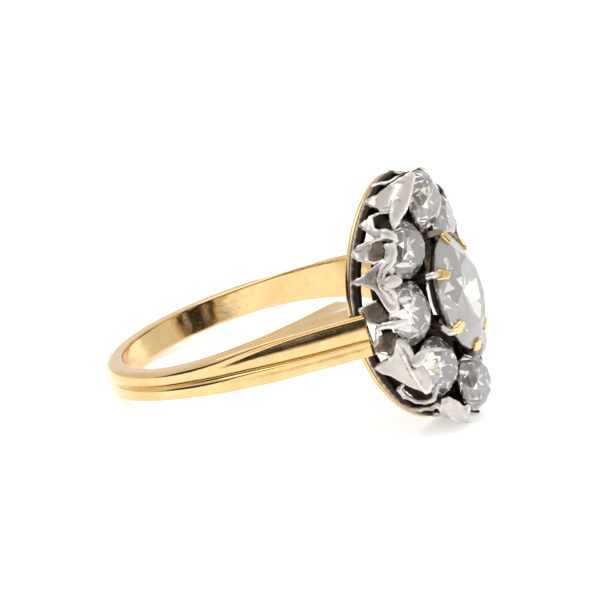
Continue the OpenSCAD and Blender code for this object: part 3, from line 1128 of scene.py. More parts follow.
    def _backing(self, grid: Field) -> None:
        """Adds a wall behind the pierced plates, joining the collets all round, painted dark as the
        shade behind the plates.

        Args:
            grid: the silver.
        """
        turned = np.abs(grid.angle)
        low = (mixed(self.backing_low, self.backing_raised, eased(turned, 36, 40))
               - self.backing_fall * eased(turned, 114, 119)
               + 0.1 * np.cos(np.radians(turned) * 8))
        form = rounded([np.abs(grid.out - self.backing_out) - self.backing_w / 2,
                        grid.height - self.backing_top, low - grid.height], 0.04)
        # painted shade: the wall stands in for the shade behind the plates
        grid.join(WHOLE, form, 0.1, 0.8)

    def _floor(self, grid: Field) -> None:
        """Adds the inner plate that joins the collets under the centre stone and the dome under it,
        painted dark as shade under the stone.

        Args:
            grid: the silver.
        """
        x, y, z = grid.places
        height = z + WALL.drop * (x * x) / (x * x + (y * 0.85) ** 2 + 0.01)
        r_out = np.hypot(x / self.floor_t, y / self.floor_v)
        r_in = np.hypot(x / self.well_t, y / self.well_v)
        flat = np.maximum((r_out - 1) * self.floor_t, (1 - r_in) * self.well_t)
        slab = np.abs(height - self.floor_z) - self.floor_w / 2
        # painted shade under the centre stone
        grid.join(WHOLE, np.maximum(flat, slab), 0.1, 1.0)
        r = np.hypot(x / self.dome_t, y / self.dome_v)
        top = self.dome_z - self.dome_fall * eased(r, 0.7, 1.12)
        dome = rounded([z - top, top - self.dome_w - z, (r - 1.15) * self.dome_t,
                        (0.7 - r) * self.dome_t], 0.05)
        # painted shade on the dome, lighter in its middle
        grid.join(WHOLE, dome, 0.1, np.where(r < 0.8, 0.3, 0.75))

    def build(self, stones: Stones, silver: Material) -> Piece:
        """Builds the whole silver head.

        Args:
            stones: the stones that it holds.
            silver: its finish.

        Returns:
            The piece that stands for the setting.
        """
        grid = Field(self.low, self.high, self.step)
        self._floor(grid)
        self._backing(grid)
        self._rail(grid)
        for side in (1.0, -1.0):
            grid.side = side
            self._first_plate(grid)
            self._second_fork(grid)
            self._second_plate(grid)
            self._third_cups(grid)
            self._third_plate(grid)
            self._fourth_loop(grid)
        grid.side = 1.0
        self._ends(grid)
        self._grains(grid)
        self._seats(grid, stones)
        return fit_out(grid.piece("setting_silver", self.kept), "setting", silver)


@dataclass(frozen=True)
class CentreSetting:
    """Raised cup of the centre stone with its six stems, and the gold claws on them.

    A claw is an angle in degrees and how far its foot is moved. A stem is rows of the distance
    outside the girdle, the drop under it and the share of the foot's move, and its stretches are
    rows of the radii at both ends, the width of the rounded corner and how dark each is painted:
    oxidised metal and painted shade above zero, painted light below zero.
    """

    half_t: float = 2.65
    half_v: float = 3.8
    girdle_z: float = 3.4
    shift: float = -0.15
    turn: float = math.radians(8.0)
    claws: tuple[Triple, ...] = (
        (-5, -0.8, -0.1), (54, 0.0, -0.1), (112, 0.0, 0.7), (168, 0.4, 0.1), (214, 0.0, 0.3),
        (308, 0.0, 0.2))
    claw_w: float = 0.35
    claw_out: float = 0.24
    claw_in: float = 0.52
    claw_thick: float = 0.36
    claw_thin: float = 0.22
    stem: tuple[Triple, ...] = (
        (-0.2, 1.1, 1.0), (0.3, 1.05, 1.0), (0.42, 0.5, 0.75), (0.34, 0.12, 0.2),
        (0.16, 0.0, 0.0))
    # last column: painted shade at the stem's foot, painted light up the stem
    stretches: tuple[tuple[float, float, float, float], ...] = (
        (0.3, 0.28, 0.1, 0.7), (0.26, 0.22, 0.05, -0.3), (0.22, 0.22, 0.05, -0.45),
        (0.22, 0.24, 0.05, -0.45))
    cup_w: float = 0.17
    cup_top: float = 0.45
    cup_low_z: float = 2.3
    cup_gap: float = 0.035
    claw_gap: float = 0.03
    step: float = 0.05
    low: Triple = (-4.0, -5.2, 2.1)
    high: Triple = (4.0, 5.2, 4.9)

    def spot(self, claw: float, out: float, z: float) -> Array:
        """Place in the head's frame at a claw, this far outside the girdle, in mm.

        Args:
            claw: angle of the claw in degrees.
            out: distance outside the girdle.
            z: height.

        Returns:
            Its x, y and z.
        """
        a = math.radians(claw)
        x, y = -(self.half_t + out) * math.sin(a), (self.half_v + out) * math.cos(a)
        cos, sin = math.cos(self.turn), math.sin(self.turn)
        return np.array([x * cos - y * sin, x * sin + y * cos + self.shift, z])

    def _room(self, grid: Field, stones: Stones, gap: float) -> None:
        """Cuts the stones' room out of the metal.

        Args:
            grid: the metal.
            stones: the stones.
            gap: space left round them in mm.
        """
        for stone in [*stones.ring(), stones.middle()]:
            points = stone.points
            where = grid.near(points.min(axis=0) - 0.3, points.max(axis=0) + 0.3)
            grid.cut(where, grid.hull_distance(stone.planes(), where) - gap)

    def cup(self, stones: Stones, silver: Material) -> Piece:
        """Builds the cup and its stems.

        Args:
            stones: the stones round them.
            silver: their finish.

        Returns:
            The piece that stands for the centre's setting.
        """
        grid = Field(self.low, self.high, self.step)
        far = grid.hull_distance(stones.middle().planes(), WHOLE)
        z = grid.places[2]
        shell = rounded([far - self.cup_w, z - self.girdle_z + self.cup_top, self.cup_low_z - z],
                        0.04)
        # the cup is painted dark: painted shade in the gap round the centre stone
        grid.join(WHOLE, shell, 0.05, 0.9)
        for claw, *moved in self.claws:
            foot = np.array([*moved, 0.0])
            line = [self.spot(claw, out, self.girdle_z - drop) + foot * share
                    for out, drop, share in self.stem]
            for start, end, stretch in zip(line, line[1:], self.stretches):
                grid.rod(start, end, *stretch)
        # painted light on the inside of the cup under the centre stone
        below = np.abs(z - self.girdle_z + 0.6) < 0.3
        grid.oxide_shade_and_light[(far < 0.05) & below] = -1
        self._room(grid, stones, self.cup_gap)
        return fit_out(grid.piece("centre_setting_silver"), "centre_setting", silver)

    def tips(self, stones: Stones, gold: Material) -> Piece:
        """Builds the gold ends of the claws, folded over the centre stone.

        Args:
            stones: the stones round them.
            gold: their finish.

        Returns:
            The piece that stands for the claw tips.
        """
        grid = Field(self.low, self.high, self.step)
        far = grid.hull_distance(stones.middle().planes(), WHOLE)
        x, y, z = grid.places
        for claw, _, _ in self.claws:
            at, beyond = self.spot(claw, 0, 0), self.spot(claw, 1, 0)
            ahead = (beyond - at) / np.linalg.norm(beyond - at)
            s = (x - at[0]) * ahead[0] + (y - at[1]) * ahead[1]
            w = (x - at[0]) * ahead[1] - (y - at[1]) * ahead[0]
            inward = eased(s, 0.2, -0.5)
            form = rounded([far - mixed(self.claw_thick, self.claw_thin, inward),
                            np.abs(w) - mixed(self.claw_w, self.claw_w * 0.85, inward),
                            s - self.claw_out, -self.claw_in - s,
                            self.girdle_z - 0.02 - z], 0.15)
            grid.join(WHOLE, form, 0.02)
        self._room(grid, stones, self.claw_gap)
        return fit_out(grid.piece("claw_tips_gold"), "claw_tips", gold)


def curved(rows: Array, steps: int) -> Array:
    """Rounds an open line of rows into a smooth curve through them.

    Args:
        rows: rows of numbers along the line.
        steps: points made for each stretch between two rows.

    Returns:
        Rows of the smooth curve.
    """
    padded = np.concatenate([2 * rows[:1] - rows[1:2], rows, 2 * rows[-1:] - rows[-2:-1]])
    t = np.linspace(0, 1, steps, endpoint=False)[:, None]
    parts = []
    for a, b, c, d in zip(padded, padded[1:], padded[2:], padded[3:]):
        parts.append(0.5 * (2 * b + (c - a) * t + (2 * a - 5 * b + 4 * c - d) * t ** 2
                            + (3 * b - a - 3 * c + d) * t ** 3))
    return np.concatenate(parts + [rows[-1:]])


@dataclass(frozen=True)
class Shank:
    """Fluted gold band with its two shoulders, swept round the finger hole.

    Angles go from the back of the band, in degrees. Each row of the face is a place across the
    band and across the shoulder, as a share of its half width, then the depth under the outer
    line on the band, on the shoulder and at its end.
    """

    finger_r: float = 8.6
    band_t: float = 1.2
    band_w: float = 1.9
    shoulder_w: float = 3.4
    face_w: float = 2.7
    end_angle: float = 160.0
    straight_from: float = 100.0
    step: float = 1.0
    shoulder_n: float = 10.95
    shoulder_t: float = 7.25
    gap: float = 0.04
    rail_w: float = BackRail.width
    bore_edge: float = 0.1
    seam: float = 0.01
    side_steps: int = 16
    curve_steps: int = 6
    crease: float = math.radians(38)
    side_flute: float = 0.13
    taper: float = 0.25
    slope_n: float = 7.9
    slope_t: float = 3.6
    reach: float = 20.0
    wide: float = 15.0
    headward: Span = (85.0, 140.0)
    ending: Span = (144.0, 158.0)
    widening: Span = (70.0, 125.0)
    deepening: Span = (60.0, 155.0)
    tapering: Span = (150.0, 165.0)
    face: tuple[tuple[float, float, float, float, float], ...] = (
        (1.00, 1.00, 0.45, 0.35, 0.30), (0.95, 0.985, 0.22, 0.10, 0.08),
        (0.82, 0.95, 0.07, 0.01, 0.01), (0.66, 0.905, 0.00, 0.03, 0.02),
        (0.54, 0.87, 0.00, 0.20, 0.14), (0.44, 0.80, 0.00, 0.29, 0.22),
        (0.36, 0.64, 0.01, 0.21, 0.18), (0.28, 0.46, 0.03, 0.12, 0.10),
        (0.18, 0.22, 0.08, 0.07, 0.05), (0.10, -0.05, 0.15, 0.08, 0.13),
        (0.02, -0.20, 0.22, 0.18, 0.15), (-0.02, -0.25, 0.24, 0.23, 0.04),
        (-0.10, -0.30, 0.14, 0.06, 0.12), (-0.20, -0.35, 0.06, 0.02, 0.02),
        (-0.36, -0.42, 0.01, 0.09, 0.05), (-0.60, -0.70, 0.01, 0.05, 0.04),
        (-0.82, -0.92, 0.07, 0.06, 0.05), (-0.95, -0.985, 0.22, 0.14, 0.12),
        (-1.00, -1.00, 0.45, 0.35, 0.32))

    def outer_radius(self, angle: float) -> float:
        """Radius of the band's outer line at an angle from the back, in degrees.

        Args:
            angle: the angle, without its sign.

        Returns:
            The radius in mm.
        """
        outer = self.finger_r + self.band_t
        if angle <= self.straight_from:
            return outer
        start = math.radians(self.straight_from)
        line_n, line_t = -outer * math.cos(start), outer * math.sin(start)
        square = math.atan2(self.shoulder_n - line_n, line_t - self.shoulder_t)
        distance = line_n * math.cos(square) + line_t * math.sin(square)
        return distance / math.cos(math.pi - math.radians(angle) - square)

    def section(self, angle: float) -> Array:
        """Section of the band at an angle from the back.

        Args:
            angle: the angle in degrees, without its sign.

        Returns:
            Rows of radius and height in mm, round the whole section.
        """
        headward = float(eased(angle, *self.headward))
        ending = float(eased(angle, *self.ending))
        radius = self.outer_radius(angle)
        half = float(mixed(self.band_w, self.face_w, eased(angle, *self.widening))) / 2
        inner = float(mixed(self.band_w, self.shoulder_w, eased(angle, *self.deepening))) / 2
        inner -= self.taper * float(eased(angle, *self.tapering))
        rows = np.array([[radius - mixed(mixed(c, d, headward), e, ending),
                          half * mixed(a, b, headward)] for a, b, c, d, e in self.face])
        outer = curved(rows, self.curve_steps)
        edge, seam, steps = self.bore_edge, self.seam, self.side_steps
        top, foot = rows[-1], np.array([self.finger_r + edge, -inner + seam])
        share = np.linspace(0, 1, steps + 1)[1:]
        side = top + (foot - top) * share[:, None]
        side[:, 1] += self.side_flute * headward * np.abs(np.sin(2 * np.pi * share))
        turn = np.radians(np.linspace(0, 90, 5))[1:]
        corner = np.column_stack([self.finger_r + edge - edge * np.sin(turn),
                                  -inner + seam + edge - edge * np.cos(turn)])
        across = np.linspace(-inner + edge + seam, 0, 8)[1:-1]
        bore = np.column_stack([np.full(len(across), self.finger_r), across])
        lower = np.concatenate([side, corner, bore])
        top_side = lower[::-1] * [1, -1]
        middle = np.array([[self.finger_r, 0.0]])
        shift = rows[0] - np.array([rows[-1][0], -rows[-1][1]])
        top_side[-steps:] += shift * np.linspace(0, 1, steps)[:, None]
        return np.concatenate([outer, lower, middle, top_side[:-1]])

    def sweep(self) -> tuple[Array, Faces]:
        """Sweeps the section from the end of one shoulder to the end of the other.

        Returns:
            Rows of x, y, z in mm of the upright ring, and the faces.
        """
        stations = np.arange(-self.end_angle, self.end_angle + self.step / 2, self.step)
        sections = [self.section(abs(a)) for a in stations]
        n = len(sections[0])
        points = np.concatenate([
            np.column_stack([-s[:, 0] * math.cos(math.radians(a)),
                             -s[:, 0] * math.sin(math.radians(a)), s[:, 1]])
            for a, s in zip(stations, sections)])
        faces = [[s * n + i, s * n + (i + 1) % n, (s + 1) * n + (i + 1) % n, (s + 1) * n + i]
                 for s in range(len(stations) - 1) for i in range(n)]
        last = (len(stations) - 1) * n
        faces.append(list(range(n))[::-1])
        faces.append([last + i for i in range(n)])
        return points, faces

    def _cutters(self) -> list[Piece]:
        """Makes the forms that are cut out: the rail's seat, the ends and the slope.

        Returns:
            The three pieces.
        """
        beyond, reach, wide = self.rail_w + 3, self.reach, self.wide
        corners = [(0.0, -self.gap), (0.0, reach), (beyond, reach), (beyond, -self.gap)]
        seat, seat_faces = round_oval(corners, WALL.rail_t + self.gap, WALL.rail_v + self.gap, 96)
        square = [(-wide, -wide), (wide, -wide), (wide, wide), (-wide, wide)]
        end, end_faces = prism(square, self.shoulder_n - POSE.head_n, reach)
        high_n, high_t = POSE.head_n + 1, WALL.rail_t - self.rail_w - 0.9
        slope, slope_faces = prism([(self.slope_n, -self.slope_t), (high_n, -high_t),
                                    (high_n, high_t), (self.slope_n, self.slope_t)], -10.0, 10.0)
        return [make_piece("cut_seat", POSE.place(seat), seat_faces, False),
                make_piece("cut_end", POSE.place(end), end_faces, False),
                make_piece("cut_slope", POSE.lay(slope), slope_faces, False)]

    def build(self, gold: Material) -> Piece:
        """Builds the band and its shoulders.

        Args:
            gold: their finish.

        Returns:
            The piece that stands for the shank.
        """
        points, faces = self.sweep()
        piece = make_piece("shank_gold", POSE.lay(points), faces)
        cutters = self._cutters()
        for cutter in cutters:
            recalculated(cutter)
            knife = piece.modifiers.new(cutter.name, "BOOLEAN")
            knife.operation = "DIFFERENCE"
            knife.solver = "EXACT"
            knife.object = cutter
        recalculated(piece)
        settle(piece)
        for cutter in cutters:
            bpy.data.objects.remove(cutter, do_unlink=True)
        piece.data.set_sharp_from_angle(angle=self.crease)
        return fit_out(piece, "shank", gold)


class Graph:
    """Nodes of one material, group or world, added and linked by short calls."""

    def __init__(self, tree: Tree) -> None:
        """Takes the tree that the nodes go into."""
        self.tree = tree

    def add(self, kind: str, **settings: str | bool | float) -> bpy.types.Node:
        """Adds a node.

        Args:
            kind: its type.
            settings: its properties.

        Returns:
            The node.
        """
        node = self.tree.nodes.new(kind)
        for key, value in settings.items():
            setattr(node, key, value)
        return node

    def feed(self, value: Value, socket: Socket) -> None:
        """Links a value to a socket, or sets it there where it is plain."""
        if isinstance(value, Socket):
            self.tree.links.new(value, socket)
        else:
            socket.default_value = value

    def math(self, operation: str, a: Input, b: Input, c: Input = 0.0) -> Socket:
        """Reckons with two or three values.

        Args:
            operation: name of the operation.
            a: first value.
            b: second value.
            c: third value, where the operation has one.

        Returns:
            The result.
        """
        node = self.add("ShaderNodeMath", operation=operation)
        for value, socket in zip((a, b, c), node.inputs):
            self.feed(value, socket)
        return node.outputs[0]

    def plus(self, a: Input, b: Input) -> Socket:
        """Adds two values."""
        return self.math("ADD", a, b)

    def times(self, a: Input, b: Input) -> Socket:
        """Multiplies two values."""
        return self.math("MULTIPLY", a, b)

    def most(self, first: Socket, *others: Socket) -> Socket:
        """Takes the greatest of several values."""
        for other in others:
            first = self.math("MAXIMUM", first, other)
        return first

    def ramp(self, value: Socket, low: Input, high: Input,
             bottom: float = 0.0, top: float = 1.0) -> Socket:
        """Eases a value from one number to another between two limits.

        Args:
            value: the value.
            low: lower limit.
            high: upper limit.
            bottom: result at the lower limit.
            top: result at the upper limit.

        Returns:
            The result.
        """
        node = self.add("ShaderNodeMapRange", interpolation_type="SMOOTHSTEP")
        for given, socket in zip((value, low, high, bottom, top), node.inputs):
            self.feed(given, socket)
        return node.outputs["Result"]

    def mix(self, share: Input, a: Socket | Colour, b: Socket | Colour) -> Socket:
        """Mixes two colours.

        Args:
            share: share of the second.
            a: first colour.
            b: second colour.

        Returns:
            The mixed colour.
        """
        node = self.add("ShaderNodeMix", data_type="RGBA")
        for key, value in {"Factor": share, "A": a, "B": b}.items():
            self.feed(value, node.inputs[key])
        return node.outputs["Result"]

    def noise(self, scale: Input, detail: float = 4.0, roughness: float = 0.55) -> Socket:
        """Adds cloudy noise over the surface.

        Args:
            scale: spots in a metre.
            detail: how many times it is divided finer.
            roughness: weight of the finer parts.

        Returns:
            Its value, from 0 to 1.
        """
        node = self.add("ShaderNodeTexNoise")
        place = self.add("ShaderNodeTexCoord").outputs["Object"]
        rows = {"Vector": place, "Scale": scale, "Detail": detail, "Roughness": roughness}
        for key, value in rows.items():
            self.feed(value, node.inputs[key])
        return node.outputs["Fac"]

    def stored(self, name: str) -> Socket:
        """Reads a number stored on a piece's points."""
        return self.add("ShaderNodeAttribute", attribute_name=name).outputs["Fac"]

    def group(self, tree: Tree, **inputs: Value) -> bpy.types.Node:
        """Places a node group.

        Args:
            tree: the group.
            inputs: values of its inputs, by their names.

        Returns:
            The node of the group.
        """
        node = self.add("ShaderNodeGroup")
        node.node_tree = tree
        for key, value in inputs.items():
            self.feed(value, node.inputs[key])
        return node

    def shade(self, **values: Value) -> None:
        """Feeds the shader's sockets, with _ for a space in their names."""
        shader = self.tree.nodes["Principled BSDF"]
        for key, value in values.items():
            self.feed(value, shader.inputs[key.replace("_", " ")])

    def dressed(self, height: Socket, depth: float) -> None:
        """Feeds a height through a bump into the shader's normal.

        Args:
            height: the height, about 0 to 1.
            depth: what a height of 1 stands for, in metres.
        """
        bump = self.add("ShaderNodeBump")
        bump.inputs["Distance"].default_value = depth
        self.feed(height, bump.inputs["Height"])
        self.shade(Normal=bump.outputs["Normal"])


def shader_group(name: str, inputs: dict[str, float | Colour], outputs: dict[str, str]
                 ) -> tuple[Tree, dict[str, Socket], Graph]:
    """Starts a shader node group with named inputs and outputs.

    Args:
        name: name of the group.
        inputs: each input's usual value, a number or a colour.
        outputs: each output's type of socket.

    Returns:
        The group, its inputs' sockets inside it, and its nodes.
    """
    tree = bpy.data.node_groups.new(name, "ShaderNodeTree")
    for key, value in inputs.items():
        kind = FLOAT if isinstance(value, float) else COLOUR
        tree.interface.new_socket(key, in_out="INPUT", socket_type=kind).default_value = value
    for key, kind in outputs.items():
        tree.interface.new_socket(key, in_out="OUTPUT", socket_type=kind)
    graph = Graph(tree)
    entry = graph.add("NodeGroupInput")
    graph.add("NodeGroupOutput")
    return tree, {key: entry.outputs[key] for key in inputs}, graph


def put_out(graph: Graph, **results: Socket) -> None:
    """Links results to the outputs of a group, each by its name."""
    end = next(n for n in graph.tree.nodes if n.bl_idname == "NodeGroupOutput")
    for key, value in results.items():
        graph.feed(value, end.inputs[key])


@dataclass(frozen=True)
class Effects:
    """Node groups that the finishes share, each built once."""

    wear: Tree
    grain: Tree
    oxide_and_shading: Tree
    haze: Tree

    @staticmethod
    def made() -> "Effects":
        """Makes all the groups."""
        return Effects(Effects._wear(), Effects._grain(), Effects._oxide_and_shading(), Effects._haze())

    @staticmethod
    def _wear() -> Tree:
        """Cloudy patches where a polished metal is paler and smoother or darker and duller.

        Returns:
            The group.
        """
        tree, given, g = shader_group(
            "wear", {"Pale": (1.0, 1.0, 1.0, 1.0), "Deep": (0.5, 0.5, 0.5, 1.0), "Scale": 300.0,
                     "Smooth": 0.1, "Dull": 0.2}, {"Colour": COLOUR, "Roughness": FLOAT})
        broad = g.noise(given["Scale"], 3.0)
        fine = g.noise(g.times(given["Scale"], 7.0), 5.0, 0.65)
        mask = g.ramp(g.plus(g.times(broad, 0.65), g.times(fine, 0.35)), 0.38, 0.62)
        spread = g.math("SUBTRACT", given["Dull"], given["Smooth"])
        put_out(g, Colour=g.mix(mask, given["Pale"], given["Deep"]),
                Roughness=g.math("MULTIPLY_ADD", mask, spread, given["Smooth"]))
        return tree

    @staticmethod
    def _grain() -> Tree:
        """Fine pits and low dents that years of use leave on a polished metal.

        Returns:
            The group.
        """
        tree, given, g = shader_group(
            "grain", {"Dents": 600.0, "Pits": 4000.0, "Pitting": 0.5},
            {"Height": FLOAT, "Pit": FLOAT})
        dents = g.noise(given["Dents"], 3.0, 0.5)
        spots = g.noise(given["Pits"], 2.0, 0.5)
        pit = g.times(g.ramp(spots, 0.62, 0.72), given["Pitting"])
        put_out(g, Height=g.math("SUBTRACT", dents, pit), Pit=pit)
        return tree

    @staticmethod
    def _oxide_and_shading() -> Tree:
        """Dark oxidised recesses of silver and pale metal on its worn ridges, with painted shade on
        the inner side of the wall, toward its foot and where the stored darkness is above zero, and
        painted light where it is below zero.

        Returns:
            The group.
        """
        tree, given, g = shader_group(
            "oxide_and_shading", {"Fine": 0.5, "Wide": 0.4, "Out": 0.2, "Height": 2.0, "Oxide_Shade_And_Light": 0.0,
                      "Clean": (0.6, 0.56, 0.52, 1.0), "Bright": (0.85, 0.83, 0.8, 1.0),
                      "Brown": (0.2, 0.14, 0.1, 1.0), "Dark": (0.04, 0.03, 0.024, 1.0)},
            {"Colour": COLOUR, "Mask": FLOAT})
        cloud = g.noise(2600.0, 4.0, 0.6)
        uneven = g.times(g.math("SUBTRACT", cloud, 0.5), 0.22)
        fine = g.plus(given["Fine"], uneven)
        hollow = g.ramp(fine, 0.5, 0.66)
        # painted shade on the inner side of the wall
        behind = g.ramp(given["Out"], 0.03, -0.2)
        deep = g.ramp(g.plus(given["Wide"], uneven), 0.44, 0.62)
        # the stored darkness: oxidised metal and painted shade
        oxide_and_painted_shade = g.ramp(g.plus(given["Oxide_Shade_And_Light"], uneven), 0.15, 0.85)
        mask = g.times(g.most(hollow, behind, deep, oxide_and_painted_shade), g.ramp(given["Oxide_Shade_And_Light"], -0.7, -0.2))
        # painted light: a stored darkness below zero keeps the metal bright
        kept = g.ramp(given["Oxide_Shade_And_Light"], -0.2, -0.7)
        # pale on worn edges, plus the painted light kept above
        wear_and_painted_light = g.most(g.ramp(fine, 0.44, 0.3, 0.0, 0.6), kept)
        metal = g.mix(wear_and_painted_light, given["Clean"], given["Bright"])
        # painted shade: browner toward the foot of the wall, except on worn edges
        low = g.ramp(g.math("MULTIPLY_ADD", uneven, 2.0, given["Height"]), 2.7, 0.6)
        film = g.times(g.times(low, 0.22), g.ramp(wear_and_painted_light, 1.0, 0.2))
        brown = g.most(film, g.ramp(mask, 0.0, 0.55))
        tinted = g.mix(brown, metal, given["Brown"])
        put_out(g, Colour=g.mix(g.ramp(mask, 0.45, 1.0), tinted, given["Dark"]), Mask=mask)
        return tree

    @staticmethod
    def _haze() -> Tree:
        """Faint uneven film of old polish on a stone.

        Returns:
            The group.
        """
        tree, given, g = shader_group(
            "haze", {"Clear": (1.0, 0.95, 0.895, 1.0), "Film": (0.8, 0.75, 0.7, 1.0),
                     "Scale": 500.0, "Amount": 0.5}, {"Colour": COLOUR, "Value": FLOAT})
        film = g.times(g.ramp(g.noise(given["Scale"], 3.0), 0.35, 0.65), given["Amount"])
        put_out(g, Colour=g.mix(film, given["Clear"], given["Film"]), Value=film)
        return tree


def blank(name: str) -> tuple[Material, Graph]:
    """Starts a material.

    Args:
        name: its name.

    Returns:
        The material and its nodes.
    """
    material = bpy.data.materials.new(name)
    material.use_nodes = True
    return material, Graph(material.node_tree)


@dataclass(frozen=True)
class Gold:
    """Worn yellow gold."""

    name: str
    pale: Colour = (0.75, 0.55, 0.275, 1.0)
    deep: Colour = (0.70, 0.48, 0.215, 1.0)
    pitted: Colour = (0.32, 0.19, 0.07, 1.0)
    patches: float = 260.0
    smooth: float = 0.1
    dull: float = 0.2
    depth: float = 1.5e-5
    dents: float = 700.0
    pits: float = 5200.0
    pitting: float = 0.1

    def material(self, effects: Effects) -> Material:
        """Makes the material from the shared effects.

        Args:
            effects: the shared effects.

        Returns:
            The material.
        """
        material, g = blank(self.name)
        wear = g.group(effects.wear, Pale=self.pale, Deep=self.deep, Scale=self.patches,
                       Smooth=self.smooth, Dull=self.dull).outputs
        grain = g.group(effects.grain, Dents=self.dents, Pits=self.pits,
                        Pitting=self.pitting).outputs
        g.shade(Metallic=1.0, Base_Color=g.mix(grain["Pit"], wear["Colour"], self.pitted),
                Roughness=wear["Roughness"])
        g.dressed(grain["Height"], self.depth)
        return material


@dataclass(frozen=True)
class Silver:
    """Cut-down silver, oxidised in its recesses, with painted shade inside the head and painted light
    under the stones.
    """

    name: str
    clean: Colour = (0.60, 0.555, 0.51, 1.0)
    bright: Colour = (0.90, 0.87, 0.83, 1.0)
    brown: Colour = (0.30, 0.22, 0.165, 1.0)
    dark: Colour = (0.038, 0.026, 0.018, 1.0)
    patches: float = 900.0
    smooth: float = 0.28
    dull: float = 0.5
    depth: float = 3.5e-5
    dents: float = 1300.0
    pits: float = 7000.0
    pitting: float = 0.3

    def material(self, effects: Effects) -> Material:
        """Makes the material from the shared effects.

        Args:
            effects: the shared effects.

        Returns:
            The material.
        """
        material, g = blank(self.name)
        stored = {key: g.stored(key.lower()) for key in ("Fine", "Wide", "Out", "Height", "Oxide_Shade_And_Light")}
        oxide_and_shading = g.group(effects.oxide_and_shading, **stored, Clean=self.clean, Bright=self.bright,
                        Brown=self.brown, Dark=self.dark).outputs
        wear = g.group(effects.wear, Scale=self.patches, Smooth=self.smooth,
                       Dull=self.dull).outputs
        grain = g.group(effects.grain, Dents=self.dents, Pits=self.pits,
                        Pitting=self.pitting).outputs
        g.shade(Metallic=1.0, Base_Color=oxide_and_shading["Colour"],
                Roughness=g.most(wear["Roughness"], g.times(oxide_and_shading["Mask"], self.dull)))
        g.dressed(grain["Height"], self.depth)
        return material


@dataclass(frozen=True)
class Diamond:
    """Old cut diamond."""

    name: str
    film: Colour = (0.86, 0.83, 0.80, 1.0)
    amount: float = 0.15
    clearness: float = 0.9
    refraction: float = 2.42
    patches: float = 420.0
    dull: float = 0.06

    def material(self, effects: Effects) -> Material:
        """Makes the material from the shared effects.

        Args:
            effects: the shared effects.

        Returns:
            The material.
        """
        material, g = blank(self.name)
        haze = g.group(effects.haze, Film=self.film, Scale=self.patches,
                       Amount=self.amount).outputs
        g.shade(Base_Color=haze["Colour"], Transmission_Weight=self.clearness,
                Roughness=g.times(haze["Value"], self.dull), IOR=self.refraction)
        return material


@dataclass(frozen=True)
class Paper:
    """Plain pale paper under the ring."""

    name: str
    colour: Colour = (0.93, 0.93, 0.93, 1.0)
    roughness: float = 0.9
    gleam: Colour = (1.0, 1.0, 1.0, 1.0)
    glow: float = 0.45

    def material(self) -> Material:
        """Makes the material.

        Returns:
            The material.
        """
        material, g = blank(self.name)
        g.shade(Base_Color=self.colour, Roughness=self.roughness, Emission_Color=self.gleam,
                Emission_Strength=self.glow)
        return material


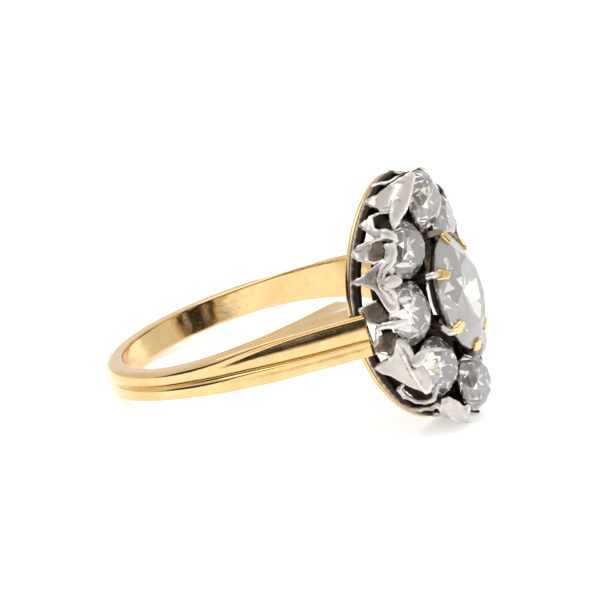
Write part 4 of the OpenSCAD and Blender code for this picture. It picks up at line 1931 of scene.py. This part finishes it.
@dataclass(frozen=True)
class Studio:
    """Pale floor, soft lights and the camera at the photograph's angle."""

    azimuth: float = math.radians(21.66)
    elevation: float = math.radians(20.79)
    roll: float = math.radians(-0.52)
    px_per_mm: float = 15.821
    distance_mm: float = 363.6
    aim_right_mm: float = 2.819
    aim_up_mm: float = 1.833
    image_px: int = 600
    sensor_mm: float = 36.0
    nearest_m: float = 0.01
    farthest_m: float = 20.0
    sky: Colour = (0.94, 0.94, 0.945, 1.0)
    room: Colour = (0.035, 0.03, 0.028, 1.0)
    dark_low: float = 0.01
    dark_low_soft: float = 0.06
    dark_high: float = 0.38
    dark_high_soft: float = 0.12
    dark_side: float = -0.55
    dark_side_soft: float = 0.35
    key_at: Triple = (-0.12, -0.1, 0.6)
    key_size: float = 0.5
    key_watts: float = 1.5
    floor_half_m: float = 1.5

    def camera(self) -> Piece:
        """Makes the camera and gives it to the scene.

        Returns:
            The camera.
        """
        a, e, r = self.azimuth, self.elevation, self.roll
        back = np.array([math.sin(a) * math.cos(e), -math.cos(a) * math.cos(e), math.sin(e)])
        level = np.array([math.cos(a), math.sin(a), 0.0])
        rise = np.cross(back, level)
        right = level * math.cos(r) + rise * math.sin(r)
        up = np.cross(back, right)
        at = (right * self.aim_right_mm + up * self.aim_up_mm + back * self.distance_mm) * MM
        data = bpy.data.cameras.new("camera")
        data.sensor_width = self.sensor_mm
        data.lens = self.px_per_mm * self.distance_mm * self.sensor_mm / self.image_px
        data.clip_start, data.clip_end = self.nearest_m, self.farthest_m
        camera = bpy.data.objects.new("camera", data)
        camera.matrix_world = Matrix(np.vstack([
            np.column_stack([right, up, back, at]), [0, 0, 0, 1]]).tolist())
        bpy.context.scene.collection.objects.link(camera)
        bpy.context.scene.camera = camera
        return camera

    def light(self, name: str, at: Row, size: float, watts: float) -> None:
        """Adds a square soft light that faces the ring.

        Args:
            name: name of the light.
            at: its place in metres.
            size: length of its side in metres.
            watts: its power.
        """
        data = bpy.data.lights.new(name, "AREA")
        data.shape = "SQUARE"
        data.size = size
        data.energy = watts
        lamp = bpy.data.objects.new(name, data)
        lamp.location = at
        lamp.rotation_euler = (-Vector(at)).to_track_quat("-Z", "Y").to_euler()
        bpy.context.scene.collection.objects.link(lamp)

    def world(self) -> None:
        """Makes the light all round: bright above and behind, a dark room behind the camera."""
        world = bpy.data.worlds.new("studio")
        bpy.context.scene.world = world
        world.use_nodes = True
        g = Graph(world.node_tree)
        parts = g.add("ShaderNodeSeparateXYZ")
        g.feed(g.add("ShaderNodeTexCoord").outputs["Generated"], parts.inputs[0])
        rise, depth = parts.outputs["Z"], parts.outputs["Y"]
        band = g.times(g.ramp(rise, self.dark_low, self.dark_low + self.dark_low_soft),
                       g.ramp(rise, self.dark_high + self.dark_high_soft, self.dark_high))
        dark = g.times(band, g.ramp(depth, self.dark_side + self.dark_side_soft, self.dark_side))
        background = world.node_tree.nodes["Background"]
        g.feed(g.mix(dark, self.sky, self.room), background.inputs["Color"])
        background.inputs["Strength"].default_value = 1.0

    def build(self) -> None:
        """Builds the floor, the world, the lights and the camera."""
        scene = bpy.context.scene
        scene.view_settings.view_transform = "Standard"
        scene.cycles.use_denoising = True
        self.camera()
        low, half = CAD_BOX[0][2], self.floor_half_m
        floor = make_piece("floor", np.array([
            [-half, -half, low], [half, -half, low], [half, half, low], [-half, half, low]]),
            [[0, 1, 2, 3]])
        floor.data.materials.append(Paper("floor_paper").material())
        self.world()
        self.light("key", self.key_at, self.key_size, self.key_watts)
        LOG.info("studio ready")


def main() -> None:
    """Builds the ring's looks in order."""
    logging.basicConfig(level=logging.INFO)
    Studio().build()
    effects = Effects.made()
    gold = Gold("gold").material(effects)
    silver = Silver("silver").material(effects)
    claw_gold = Gold("gold_claws", pale=(0.84, 0.60, 0.27, 1.0)).material(effects)
    clear = Diamond("diamond").material(effects)
    hazy = Diamond("diamond_centre", film=(0.99, 0.93, 0.85, 1.0), amount=0.35,
                   clearness=0.76).material(effects)
    stones = Stones()
    stones.dress(clear, hazy)
    Shank().build(gold)
    BackRail().build(gold)
    Setting().build(stones, silver)
    centre = CentreSetting()
    centre.cup(stones, silver)
    centre.tips(stones, claw_gold)


if __name__ == "__main__":
    main()
